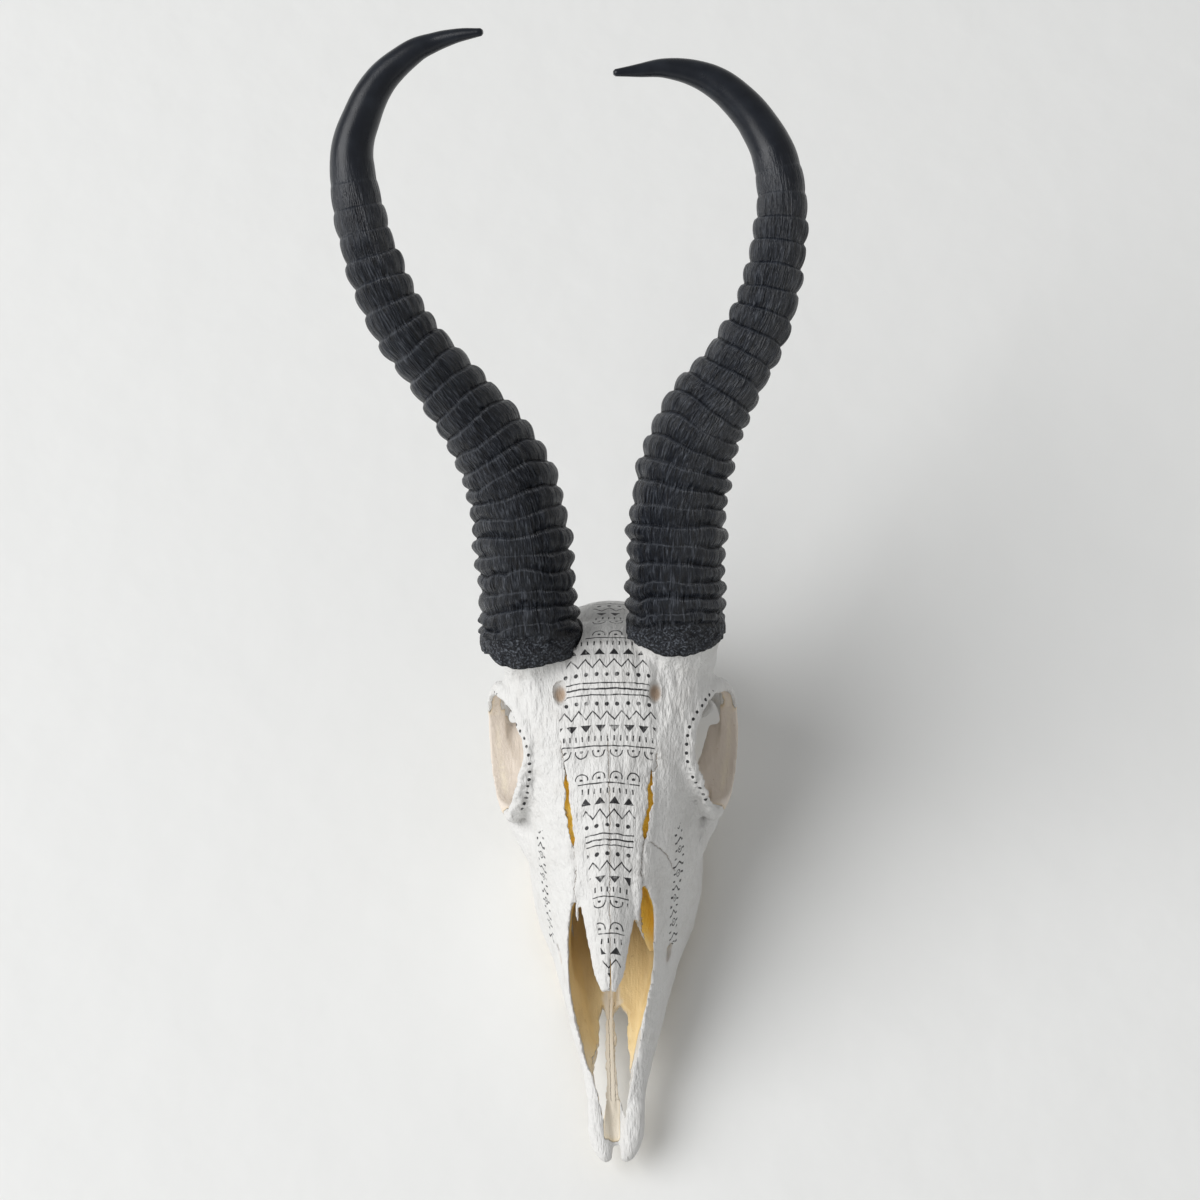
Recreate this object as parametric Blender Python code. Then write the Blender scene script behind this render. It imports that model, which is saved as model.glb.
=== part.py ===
"""A springbok ram's skull with its horns and without its lower jaw, lying on its upper teeth.

Lengths are in millimetres until the end: X across (the animal's left is +X), Y back from the
snout's tip, Z up from the table. The finished objects are in metres.
"""

import math

import bmesh
import bpy
import numpy as np
from mathutils import Matrix, Vector

# Size of the grain that bone is fused at, and the number of triangles that the skull keeps
GRAIN = 1.5
SKULL_TRIANGLES = 4200

# The gap between pieces that touch
GAP = 0.35

# The horns: sides, rings of growth, how far along them the rings reach, and height of a ring
HORN_SIDES = 12
HORN_RINGS = 24
RINGED_PART = 0.72
RING_HEIGHT = 0.085
HORN_DEPTH = 1.1

# Middle line of each horn and its radius: x, y, z, r
LEFT_HORN = [
    (24, 167.5, 101, 17.4),
    (25, 182, 126, 17.2),
    (27, 197, 147, 16.5),
    (33, 210, 166, 14.9),
    (45, 222, 183, 12.6),
    (56, 236, 197, 10.1),
    (62.5, 257, 214.5, 8.5),
    (61, 272.5, 225, 7.5),
    (55, 283, 232.5, 6.5),
    (47.5, 290, 238, 5.8),
    (40.5, 294, 241.5, 5.1),
    (32.5, 296, 244, 4.1),
    (24, 296, 246, 3.1),
    (16.5, 294, 247.5, 2.2),
    (8.8, 292, 249, 1.2),
]
RIGHT_HORN = [
    (-27, 165, 98, 17.6),
    (-27.5, 181, 124, 17.1),
    (-30, 195, 148, 15.9),
    (-37, 205, 165, 14.5),
    (-51, 217, 184, 12.2),
    (-65, 230, 200, 10.2),
    (-75, 250, 218, 8.8),
    (-79, 272, 232, 7.2),
    (-75, 285, 240, 6.2),
    (-68.5, 294.5, 246, 5.3),
    (-58.5, 301, 251, 4.2),
    (-51, 303.5, 253, 3.2),
    (-43, 304, 255.5, 2.3),
    (-35, 303.5, 257.5, 1.3),
]

# The face and forehead, from front to back: y, crown z, shoulder x z, cheek x z, outer tooth
# ridge x z, inner tooth ridge x z, palate z
FACE = [
    (20, 17, 5, 17, 9.6, 15.5, 8.8, 11.5, 5, 12, 12.5),
    (30, 22, 7, 22, 10.9, 18, 10, 12, 5.5, 12.5, 13),
    (40, 29, 9, 28, 13, 21, 12, 12, 6.5, 12.5, 13.5),
    (50, 38, 10, 37, 15.6, 26, 14.6, 12, 7.5, 12.5, 14),
    (60, 49, 9.5, 47, 17.6, 31, 17.2, 11.5, 8.5, 13, 15),
    (70, 58, 10.5, 54, 19.2, 36, 20, 10.5, 10, 12.5, 16),
    (80, 66, 12, 61, 21, 42, 23, 10.5, 11.5, 12.5, 16),
    (90, 72.5, 13.5, 67, 23.5, 46, 27, 10.5, 13.5, 12.5, 17),
    (100, 78, 15.5, 72, 26.5, 50, 29.6, 10.5, 15, 12.5, 17),
    (110, 84, 18, 77, 28.8, 54, 30.6, 10.5, 16, 12.5, 17),
    (120, 89, 22, 81, 30.5, 58, 30.4, 10.5, 16.5, 12.5, 17),
    (130, 94, 26, 86, 32, 62, 29.5, 12, 16, 14, 18),
    (140, 98.5, 29, 90, 33, 64, 24, 28, 14, 26, 26),
    (150, 102, 32, 93, 33, 68, 22, 40, 12, 36, 33),
    (160, 104, 33, 92, 32, 70, 22, 44, 12, 38, 34),
]

# The hollow of the nose: y, top z, shoulder x z, side x z, low side x z, middle floor x z, floor z
NOSE_HOLLOW = [
    (66, 54, 8, 50, 14.5, 36, 12.5, 23, 7, 20, 19.5),
    (74, 58, 9, 54, 15.8, 38, 14, 23, 7, 20, 20),
    (84, 64, 10, 60, 17.8, 43, 16, 22, 7, 20, 20),
    (100, 74, 12.5, 68, 23, 49, 17, 23, 8, 20, 20),
    (112, 80, 14, 73, 22.5, 54, 15, 24, 8, 21, 21),
    (122, 85, 12, 76, 13, 56, 11, 32, 6, 24, 22),
    (135, 86, 8, 78, 9, 56, 8, 34, 4, 25, 24),
    (143, 80, 5, 76, 6, 56, 5, 38, 3, 30, 29),
]

# The nose's opening above: y, half width at the rim, rim z, half width at the floor, floor z
NOSE_OPENING = [
    (22, 4.0, 17, 2.4, 15),
    (30, 6.2, 19, 4.0, 15.5),
    (40, 8.9, 23, 5.5, 16),
    (50, 12.0, 29, 8, 17),
    (60, 13.6, 34, 10, 18.3),
    (70, 14.0, 40, 12, 19.5),
    (78, 13.4, 50, 12, 20),
    (85, 11.8, 58, 11, 20),
]

# The nasal bones: y, half width, ridge z, edge z
NASALS = [
    (52, 3.4, 50.5, 49),
    (57, 5.4, 54, 50.5),
    (68, 7.5, 60.5, 55.5),
    (78, 8.9, 66.8, 60.5),
    (90, 10.0, 73.6, 67),
    (100, 11.2, 79.2, 72.5),
    (110, 12.3, 84.6, 78.5),
    (118, 13, 88.6, 83),
]

# The left orbit's rim, all the way round: x, y, z, r
ORBIT_RIM = [
    (34, 117, 58, 3.0),
    (31, 120, 71, 3.0),
    (27.5, 129, 82, 2.8),
    (30, 141, 87, 3.0),
    (36, 153, 82, 3.2),
    (41, 158, 69, 3.2),
    (42, 155, 54, 3.4),
    (41.5, 143, 46, 3.4),
    (39, 129, 46, 3.4),
    (36, 120, 50, 3.2),
]

# The left upper cheek teeth: name, y of the middle, x of the middle, width across, length
TEETH = [
    ("premolar_2", 71.5, 15.0, 6.0, 6.6),
    ("premolar_3", 79.0, 16.8, 7.2, 7.2),
    ("premolar_4", 87.0, 19.0, 8.6, 7.6),
    ("molar_1", 97.0, 21.2, 10.4, 11.0),
    ("molar_2", 109.4, 22.6, 11.4, 12.4),
    ("molar_3", 123.0, 22.6, 11.2, 13.4),
]
TOOTH_ROOT_Z = 17.0


# Curves

def spline(rows, steps):
    """A smooth curve through the rows, with this many steps from each row to the next."""
    rows = np.asarray(rows, float)
    padded = np.vstack([2 * rows[0] - rows[1], rows, 2 * rows[-1] - rows[-2]])
    curve = []
    for before, start, end, after in zip(padded, padded[1:], padded[2:], padded[3:]):
        for step in range(steps):
            t = step / steps
            curve.append(
                start
                + 0.5 * t * (end - before)
                + t * t * (before - 2.5 * start + 2 * end - 0.5 * after)
                + t**3 * (1.5 * (start - end) + 0.5 * (after - before))
            )
    return np.vstack([curve, rows[-1:]])


def closed_spline(rows, steps):
    """A smooth closed curve through the rows."""
    rows = np.asarray(rows, float)
    around = np.vstack([rows[-2:], rows, rows[:2]])
    curve = spline(around, steps)
    return curve[2 * steps : (2 + len(rows)) * steps]


# Forms

def form(name, mesh_builder):
    """A mesh object from the bmesh that the builder fills."""
    bm = bmesh.new()
    mesh_builder(bm)
    bmesh.ops.recalc_face_normals(bm, faces=bm.faces)
    mesh = bpy.data.meshes.new(name)
    bm.to_mesh(mesh)
    bm.free()
    obj = bpy.data.objects.new(name, mesh)
    bpy.context.scene.collection.objects.link(obj)
    return obj


def skin(name, rings, closed=False):
    """A closed shape over a run of rings with equal numbers of points."""

    def build(bm):
        loops = [[bm.verts.new(point) for point in ring] for ring in rings]
        pairs = list(zip(loops, loops[1:]))
        if closed:
            pairs.append((loops[-1], loops[0]))
        for near, far in pairs:
            for i in range(len(near)):
                j = (i + 1) % len(near)
                bm.faces.new((near[i], near[j], far[j], far[i]))
        if not closed:
            bm.faces.new(loops[0])
            bm.faces.new(loops[-1])

    return form(name, build)


def across(points, closed=False, up=(0, 0, 1)):
    """At each point of a curve, the two directions across it: level, and the other."""
    if closed:
        along = np.roll(points, -1, axis=0) - np.roll(points, 1, axis=0)
    else:
        along = np.gradient(points, axis=0)
    along /= np.linalg.norm(along, axis=1)[:, None]
    level = np.cross(along, up)
    level /= np.linalg.norm(level, axis=1)[:, None]
    return level, np.cross(level, along)


def carried(points):
    """The same two directions, carried along the curve without a twist."""
    along = np.gradient(points, axis=0)
    along /= np.linalg.norm(along, axis=1)[:, None]
    side = np.cross(along[0], (0, 0, 1))
    levels = []
    for direction in along:
        side = side - direction * (side @ direction)
        side /= np.linalg.norm(side)
        levels.append(side)
    levels = np.array(levels)
    return levels, np.cross(levels, along)


def tube(name, rows, steps=4, sides=12, closed=False, up=(0, 0, 1)):
    """A bar along x, y, z with one radius, or with one radius to the side and one upwards."""
    curve = closed_spline(rows, steps) if closed else spline(rows, steps)
    points = curve[:, :3]
    level, other = across(points, closed, up)
    rings = []
    for point, radii, side, rise in zip(points, curve[:, 3:], level, other):
        ring = []
        for i in range(sides):
            turn = math.tau * i / sides
            ring.append(
                point
                + side * radii[0] * math.cos(turn)
                + rise * radii[-1] * math.sin(turn)
            )
        rings.append(ring)
    return skin(name, rings, closed)


def blob(name, centre, radii, tilt=0.0):
    """An egg shape, tilted about X in degrees."""
    place = (
        Matrix.Translation(centre)
        @ Matrix.Rotation(math.radians(tilt), 4, "X")
        @ Matrix.Diagonal((*radii, 1))
    )
    return form(
        name,
        lambda bm: bmesh.ops.create_uvsphere(
            bm, u_segments=24, v_segments=14, radius=1, matrix=place
        ),
    )


def block(name, centre, size):
    place = Matrix.Translation(centre) @ Matrix.Diagonal((*size, 1))
    return form(name, lambda bm: bmesh.ops.create_cube(bm, size=1, matrix=place))


def hull(name, rows, steps=4):
    """A shape over sections across Y: each row holds y, the top's z, points x z, the bottom's z."""
    rings = []
    for row in spline(rows, steps):
        y, top, bottom = row[0], row[1], row[-1]
        sides = row[2:-1].reshape(-1, 2)
        outline = [(0, top), *sides, (0, bottom), *[(-x, z) for x, z in sides[::-1]]]
        ring = closed_spline(outline, 4)
        rings.append([(x, y, z) for x, z in ring])
    return skin(name, rings)


# Joining and cutting

def mirrored(obj):
    """The same form on the other side."""
    twin = obj.copy()
    twin.data = obj.data.copy()
    twin.data.transform(Matrix.Scale(-1, 4, (1, 0, 0)))
    twin.data.flip_normals()
    bpy.context.scene.collection.objects.link(twin)
    return twin


def apply_modifiers(obj):
    """Makes what the object's modifiers show its own mesh."""
    graph = bpy.context.evaluated_depsgraph_get()
    mesh = bpy.data.meshes.new_from_object(obj.evaluated_get(graph))
    obj.modifiers.clear()
    obj.data = mesh


def fused(name, middle, paired, grain, smoothing):
    """One closed body from forms that overlap, and from paired forms and their mirror images."""
    forms = middle + paired + [mirrored(obj) for obj in paired]
    whole = bmesh.new()
    for obj in forms:
        whole.from_mesh(obj.data)
    mesh = bpy.data.meshes.new(name)
    whole.to_mesh(mesh)
    whole.free()
    for obj in forms:
        bpy.data.objects.remove(obj)
    body = bpy.data.objects.new(name, mesh)
    bpy.context.scene.collection.objects.link(body)
    remesh = body.modifiers.new("grain", "REMESH")
    remesh.mode = "VOXEL"
    remesh.voxel_size = grain
    smooth = body.modifiers.new("smooth", "SMOOTH")
    smooth.factor = 0.5
    smooth.iterations = smoothing
    apply_modifiers(body)
    return body


def carve(body, cutter):
    """Cuts one closed shape out of the body, and removes the cutter."""
    cut = body.modifiers.new("cut", "BOOLEAN")
    cut.operation = "DIFFERENCE"
    cut.solver = "EXACT"
    cut.object = cutter
    apply_modifiers(body)
    bpy.data.objects.remove(cutter)


def largest_body(obj):
    """Drops loose crumbs, and keeps the largest connected mesh."""
    bm = bmesh.new()
    bm.from_mesh(obj.data)
    bm.verts.ensure_lookup_table()
    left = set(bm.verts)
    groups = []
    while left:
        group = {left.pop()}
        edge = list(group)
        while edge:
            near = edge.pop()
            for link in near.link_edges:
                other = link.other_vert(near)
                if other in left:
                    left.discard(other)
                    group.add(other)
                    edge.append(other)
        groups.append(group)
    keep = max(groups, key=len)
    bmesh.ops.delete(bm, geom=[v for v in bm.verts if v not in keep], context="VERTS")
    bm.to_mesh(obj.data)
    bm.free()


# The skull

def solid_forms():
    """The skull's masses: those on the middle line, and the left one of each pair."""
    crest = [
        (-25, 182, 48, 2.6),
        (-18, 190, 57, 2.6),
        (0, 194, 61, 2.6),
        (18, 190, 57, 2.6),
        (25, 182, 48, 2.6),
    ]
    right_shelf = [(-24, 132, 42, 5, 2.2), (-31, 146, 43, 6, 2.2), (-35, 158, 48, 4.5, 2.4)]
    right_brow = [
        (-27, 130, 83.5, 2.2),
        (-31.5, 138, 84, 2.4),
        (-34.5, 145, 82, 2.4),
        (-37, 150, 80.5, 2.4),
        (-40, 155, 76, 2.6),
    ]
    base = [(0, 140, 36, 9, 6), (0, 165, 30, 10, 6), (0, 185, 27, 9, 5), (0, 203, 25, 8, 4)]
    middle = [
        hull("face", FACE),
        blob("forehead", (0, 155, 82), (33, 23, 21.5)),
        blob("braincase", (0, 166, 60), (31, 30, 34)),
        blob("occiput", (0, 185, 46), (25, 13, 20)),
        tube("right_orbit_shelf", right_shelf),
        tube("right_orbit_brow", right_brow),
        tube("skull_base", base),
        tube("nuchal_crest", crest),
    ]

    zygoma = [(24, 174, 50, 3, 4), (32, 172, 50, 3, 4), (39, 165, 50, 2.6, 4), (42, 155, 49, 2.6, 4)]
    cheekbone = [
        (21, 96, 34, 4, 6),
        (29, 110, 40, 3.5, 7),
        (37, 126, 44, 3, 5),
        (41, 143, 45, 3, 4),
    ]
    orbit_floor = [
        (20, 112, 42, 4, 2.2),
        (31, 129, 43, 6.5, 2.4),
        (36, 143, 43, 5.5, 2.2),
        (38.5, 156, 47, 4, 2.2),
    ]
    pedicle = [(21, 158, 80, 15), (23, 163, 90, 15.5), (25, 170, 106, 15.5)]
    paroccipital = [
        (22, 185, 40, 4, 8),
        (21.5, 190, 26, 3.4, 6.6),
        (20.5, 194, 10, 2.8, 4.8),
        (20, 195, -3, 2.5, 3.6),
    ]
    pterygoid = [(10, 112, 21, 2, 5), (10, 128, 26, 1.6, 8), (10, 143, 31, 1.6, 8), (11, 155, 34, 2, 5)]
    paired = [
        tube("orbit_rim", ORBIT_RIM, closed=True, up=(1, 0, 0)),
        tube("zygoma", zygoma),
        tube("cheekbone", cheekbone),
        tube("orbit_floor", orbit_floor),
        tube("pedicle", pedicle, up=(0, -1, 0)),
        blob("joint", (28, 167, 42), (9, 6, 4)),
        blob("mastoid", (25, 184, 46), (8, 8, 13)),
        blob("bulla", (17, 178, 25), (8, 12, 10)),
        blob("condyle", (10.5, 201, 29), (7, 8, 11), 25),
        tube("paroccipital", paroccipital, up=(0, 1, 0)),
        tube("pterygoid", pterygoid),
    ]
    return middle, paired


def hollow_forms():
    """What is cut out of the masses: the forms on the middle line, and the left one of each pair."""
    opening = []
    for y, half, rim, floor_half, floor in spline(NOSE_OPENING, 3):
        side = [(half, y, 80), (half, y, rim), (floor_half, y, floor)]
        opening.append(side + [(-x, y, z) for x, y, z in reversed(side)])
    middle = [
        hull("nose", NOSE_HOLLOW),
        skin("nose_opening", opening),
        blob("brain", (0, 167, 60), (26, 26, 29)),
        tube("foramen_magnum", [(0, 174, 50, 10), (0, 194, 45, 10), (0, 214, 42, 10)]),
        tube("choana", [(0, 119, 26, 7, 5), (0, 134, 24, 7.5, 9), (0, 152, 19, 7.5, 9)]),
    ]

    temple = [
        (32, 146, 62, 5, 9),
        (34, 160, 62, 4.5, 10),
        (38, 176, 65, 6, 12),
        (46, 190, 68, 8, 14),
    ]
    palate_slit = [
        (3.9, 18, 14, 0.7, 9),
        (4.5, 25, 14, 1.8, 9),
        (4.3, 36, 14, 2.1, 9),
        (3.5, 49, 15, 2, 9),
        (3.7, 61, 16, 1.6, 9),
    ]
    paired = [
        blob("orbit", (38, 138, 65), (23, 20, 20.5)),
        tube("ethmoid_slit", [(15.4, 122, 90, 1.0, 8), (14.3, 110, 81, 1.6, 8), (12.5, 96, 71, 1.3, 8)]),
        tube("infraorbital_hole", [(24, 66, 33, 2.2), (14, 82, 36, 2.2)]),
        blob("brow_pit", (16.5, 143, 98), (2.6, 4.5, 4)),
        tube("temple", temple),
        tube("palate_slit", palate_slit),
    ]
    return middle, paired


def nasal_bones():
    """The two nasal bones as one arched plate."""
    rings = []
    for y, half, ridge, edge in spline(NASALS, 4):
        upper = []
        for share in np.linspace(-1, 1, 9):
            arch = math.cos(share * math.pi / 2) ** 0.8
            upper.append((half * share, y, edge + (ridge - edge) * arch))
        lower = [(0.97 * x, y, z - 2.2) for x, _, z in reversed(upper)]
        rings.append(upper + lower)
    return skin("nasal_bones", rings)


def thin_forms():
    """The thin bones that are added after the hollows are cut."""
    vomer = [
        (0, 20, 13.5, 4, 1.6),
        (0, 31, 14.5, 2.5, 1.5),
        (0, 40, 15.5, 1.7, 1.8),
        (0, 49, 16.5, 1.5, 2.2),
        (0, 62, 18.5, 1.5, 2.8),
        (0, 90, 20, 1.5, 4),
        (0, 116, 22, 1.5, 5),
    ]
    snout_tip = [
        (4.2, 3.5, 12.5, 2.0, 1.8),
        (4.8, 6, 12.6, 3.6, 2.8),
        (5.6, 13, 13.4, 4.3, 3.4),
        (6.9, 24, 15.4, 3.4, 3.4),
    ]
    middle = [
        nasal_bones(),
        tube("snout_plate", [(0, 8, 12, 3, 1.2), (0, 13, 12.6, 4.5, 1.5), (0, 20, 13.3, 3.6, 1.5)]),
        tube("vomer", vomer),
    ]
    return middle, [tube("snout_tip", snout_tip)]


def skull():
    """The fused bone, with its hollows, before the horns' seats and the sockets are cut."""
    middle, paired = solid_forms()
    bone = fused("skull", middle, paired, GRAIN, 3)
    middle, paired = hollow_forms()
    carve(bone, fused("hollows", middle, paired, GRAIN, 2))
    middle, paired = thin_forms()
    bone = fused("skull", [bone] + middle, paired, GRAIN, 2)
    largest_body(bone)
    fewer = bone.modifiers.new("fewer", "DECIMATE")
    fewer.ratio = SKULL_TRIANGLES / (2 * len(bone.data.polygons))
    fewer.use_collapse_triangulate = True
    apply_modifiers(bone)
    return bone


# The horns

def horn_curve(rows, steps):
    """The horn's middle line with its radius, and how far along it each point is, from 0 to 1."""
    fine = spline(rows, 20)
    length = np.r_[0, np.cumsum(np.linalg.norm(np.diff(fine[:, :3], axis=0), axis=1))]
    share = length / length[-1]
    return np.array([[np.interp(s, share, column) for column in fine.T] for s in steps])


def ring_steps():
    """Places along the horn of its sections: three to each ring, then a few up to the tip."""
    steps = []
    for i in range(HORN_RINGS):
        start = RINGED_PART * (i / HORN_RINGS) ** 0.92
        end = RINGED_PART * ((i + 1) / HORN_RINGS) ** 0.92
        steps += [start + (end - start) * part for part in (0.0, 0.3, 0.75)]
    return steps + list(np.linspace(RINGED_PART, 1, 9))


def horn(name, rows):
    """A solid horn sheath with its rings."""
    steps = ring_steps()
    curve = horn_curve(rows, steps)
    points = curve[:, :3]
    level, other = carried(points)
    rings = []
    for number, (point, radius, side, rise) in enumerate(zip(points, curve[:, 3], level, other)):
        ridge = number % 3 > 0 and number < 3 * HORN_RINGS
        fade = 1 - 0.6 * number / (3 * HORN_RINGS)
        radius *= 1 + RING_HEIGHT * fade * (0.35 if ridge else -0.65) if number < 3 * HORN_RINGS else 1
        ring = []
        for i in range(HORN_SIDES):
            turn = math.tau * i / HORN_SIDES
            ring.append(
                point + side * radius * math.cos(turn) + rise * radius * HORN_DEPTH * math.sin(turn)
            )
        rings.append(ring)
    return skin(name, rings)


def horn_seat(rows):
    """The space above the bone that the horn stands in: a cutter for its pedicle."""
    start, end = horn_curve(rows, ring_steps()[:2])[:, :3]
    axis = (end - start) / np.linalg.norm(end - start)
    foot = start - axis * GAP
    centre = Vector(foot + axis * 15)
    turn = Vector((0, 0, 1)).rotation_difference(Vector(axis)).to_matrix().to_4x4()
    place = Matrix.Translation(centre) @ turn
    return form(
        "seat",
        lambda bm: bmesh.ops.create_cone(
            bm, cap_ends=True, segments=24, radius1=18.6, radius2=18.6, depth=30, matrix=place
        ),
    )


# The teeth

def tooth_outline(width, length, molar, grow):
    """The tooth's outline seen from below: one lobe for a premolar and two for a molar."""
    outline = []
    for i in range(12):
        turn = math.tau * (i + 0.5) / 12
        squeeze = abs(math.cos(turn)) ** 4 + abs(math.sin(turn)) ** 4
        reach = squeeze**-0.25
        x = (width / 2 + grow) * reach * math.cos(turn)
        y = (length / 2 + grow) * reach * math.sin(turn)
        if molar and abs(y) < length * 0.2:
            x *= 0.9
        outline.append((x, y))
    return outline


def tooth(name, x, y, width, length, side, grow=0.0):
    """A tooth, standing on its flat worn face at the table and running up into its socket."""
    molar = "molar" in name and "premolar" not in name
    top = TOOTH_ROOT_Z + grow
    bottom = 0.0 if grow == 0 else -2.0
    rings = []
    for z, scale in ((bottom, 0.9), (1.2, 1.0), (top, 0.9)):
        scale = 1.0 if grow else scale
        outline = tooth_outline(width * scale, length * scale, molar, grow)
        rings.append([(side * x + px, y + py, z) for px, py in outline])
    return skin(name, rings)


# Putting them together

def material(name, colour, roughness):
    made = bpy.data.materials.new(name)
    made.use_nodes = True
    shader = made.node_tree.nodes["Principled BSDF"]
    shader.inputs["Base Color"].default_value = (*colour, 1)
    shader.inputs["Roughness"].default_value = roughness
    shader.inputs["Metallic"].default_value = 0
    return made


def finish(obj, surface, smooth=True):
    """A material, and smooth shading with sharp edges where the form is sharp."""
    obj.data.materials.clear()
    obj.data.materials.append(surface)
    if smooth:
        obj.data.shade_smooth()
        obj.data.set_sharp_from_angle(angle=math.radians(50))


def to_metres(objects):
    """Metres, with the origin on the table under the middle of the whole."""
    points = np.array([vertex.co for obj in objects for vertex in obj.data.vertices])
    low, high = points.min(axis=0), points.max(axis=0)
    middle = Vector((-(low[0] + high[0]) / 2, -(low[1] + high[1]) / 2, 0))
    for obj in objects:
        obj.data.transform(Matrix.Scale(0.001, 4) @ Matrix.Translation(middle))
    return middle


def main():
    for obj in list(bpy.data.objects):
        bpy.data.objects.remove(obj)
    bone_paint = material("painted_bone", (0.86, 0.85, 0.82), 0.6)
    black_horn = material("black_horn", (0.03, 0.032, 0.036), 0.45)
    enamel = material("tooth", (0.72, 0.62, 0.45), 0.4)

    bone = skull()
    carve(bone, block("below_table", (0, 100, -15), (120, 260, 30)))
    for rows in (LEFT_HORN, RIGHT_HORN):
        carve(bone, horn_seat(rows))
    for kind, y, x, width, length in TEETH:
        for word, side in (("left", 1), ("right", -1)):
            carve(bone, tooth("socket_" + kind, x, y, width, length, side, GAP))
            finish(tooth(f"{word}_{kind}", x, y, width, length, side), enamel, smooth=False)
    finish(bone, bone_paint)
    finish(horn("left_horn", LEFT_HORN), black_horn)
    finish(horn("right_horn", RIGHT_HORN), black_horn)
    return to_metres(list(bpy.data.objects))


SHIFT = main()
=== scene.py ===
import itertools
import math
from functools import partialmethod

import bmesh
import bpy
import numpy as np
from mathutils import Matrix, Vector
from mathutils.bvhtree import BVHTree


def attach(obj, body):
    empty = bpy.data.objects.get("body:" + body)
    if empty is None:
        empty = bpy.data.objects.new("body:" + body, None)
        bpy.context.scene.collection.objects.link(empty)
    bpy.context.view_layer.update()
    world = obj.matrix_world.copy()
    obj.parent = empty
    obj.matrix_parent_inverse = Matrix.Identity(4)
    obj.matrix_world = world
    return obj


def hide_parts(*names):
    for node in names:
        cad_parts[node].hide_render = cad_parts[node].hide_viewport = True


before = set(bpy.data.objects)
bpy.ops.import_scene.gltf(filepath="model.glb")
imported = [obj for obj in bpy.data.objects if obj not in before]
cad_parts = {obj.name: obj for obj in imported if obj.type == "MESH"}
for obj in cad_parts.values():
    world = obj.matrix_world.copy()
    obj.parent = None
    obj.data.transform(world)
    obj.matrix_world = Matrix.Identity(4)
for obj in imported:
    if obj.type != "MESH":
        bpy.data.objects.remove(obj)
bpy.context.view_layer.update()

# All lengths below are in the skull's own millimetres: X across (the animal's left is +X), Y back
# from the snout's tip, Z up from the table. TO_FRAME moves them to the frame's origin.
TO_FRAME = Vector((7.532, -155.096, 0))

# Grain of the skull's masses, of its finished surface, and the triangles it keeps
GRAIN = 1
FINE_GRAIN = 0.62
SKULL_TRIANGLES = 186000

# The room left around a horn's foot and a tooth's root, and the cut that makes a horn's seat
GAP = 0.35
SEAT_RADIUS = 18.6
SEAT_DEPTH = 30

# How deep under the skull's first skin, and how far from its hollows, the paint and relief look
SKIN_REACH = 9
HOLLOW_REACH = 3

# The horns: points around and along, rings of growth, the share of the length that they cover,
# their height, and the horn's depth over its width
HORN_AROUND = 200
HORN_ALONG = 420
HORN_TIP_STEPS = 60
HORN_RINGS = 24
RINGED_PART = 0.74
RING_HEIGHT = 2.5
HORN_DEPTH = 1.1

# Each horn's middle line from foot to tip: x, y, z, radius
LEFT_HORN = [
    (24, 167.5, 101, 17.4), (25, 182, 126, 17.2), (27.5, 197, 147, 16.1), (34.8, 210, 166, 14.6),
    (47.6, 222, 183, 11.5), (57, 236, 197, 9.8), (62.5, 257, 214.5, 8.5), (61, 272.5, 225, 7.5),
    (55, 283, 232.5, 6.5), (47.5, 290, 238, 5.8), (40.5, 294, 241.5, 5.1), (32.5, 296, 244, 4.1),
    (24, 296, 246, 3.1), (16.5, 294, 247.5, 2.2), (8.8, 292, 249, 1.2),
]
RIGHT_HORN = [
    (-27, 165, 98, 17.6), (-27.5, 181, 124, 17.1), (-30, 195, 148, 15.9), (-37.3, 205, 165, 13.8),
    (-51.3, 217, 184, 10.9), (-65.3, 230, 200, 9.7), (-75, 250, 218, 8.8), (-79, 272, 232, 7.2),
    (-75, 285, 240, 6.2), (-68.5, 294.5, 246, 5.3), (-58.5, 301, 251, 4.2), (-51, 303.5, 253, 3.2),
    (-43, 304, 255.5, 2.3), (-35, 303.5, 257.5, 1.3),
]

# The face and forehead, from front to back: y, crown z, shoulder x z, cheek x z, outer tooth
# ridge x z, inner tooth ridge x z, palate z
FACE = [
    (20, 17, 5, 17, 9.6, 15.5, 8.8, 11.5, 5, 12, 12.5),
    (30, 22, 7, 22, 10.9, 18, 10, 12, 5.5, 12.5, 13),
    (40, 29, 9, 28, 13, 21, 12, 12, 6.5, 12.5, 13.5),
    (50, 38, 10, 37, 15.6, 26, 14.6, 12, 7.5, 12.5, 14),
    (60, 49, 9.5, 47, 17.6, 31, 17.2, 11.5, 8.5, 13, 15),
    (70, 58, 10.5, 54, 19.2, 36, 20, 10.5, 10, 12.5, 16),
    (80, 66, 12, 61, 21, 42, 23, 10.5, 11.5, 12.5, 16),
    (90, 72.5, 13.5, 67, 23.5, 46, 27, 10.5, 13.5, 12.5, 17),
    (100, 78, 15.5, 72, 26.5, 50, 29.6, 10.5, 15, 12.5, 17),
    (110, 84, 18, 77, 28.8, 54, 30.6, 10.5, 16, 12.5, 17),
    (120, 89, 22, 81, 30.5, 58, 30.4, 10.5, 16.5, 12.5, 17),
    (130, 94, 26, 86, 32, 62, 29.5, 12, 16, 14, 18),
    (140, 98.5, 29, 90, 33, 64, 24, 28, 14, 26, 26),
    (150, 102, 32, 93, 33, 68, 22, 40, 12, 36, 33),
    (160, 104, 33, 92, 32, 70, 22, 44, 12, 38, 34),
]

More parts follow.
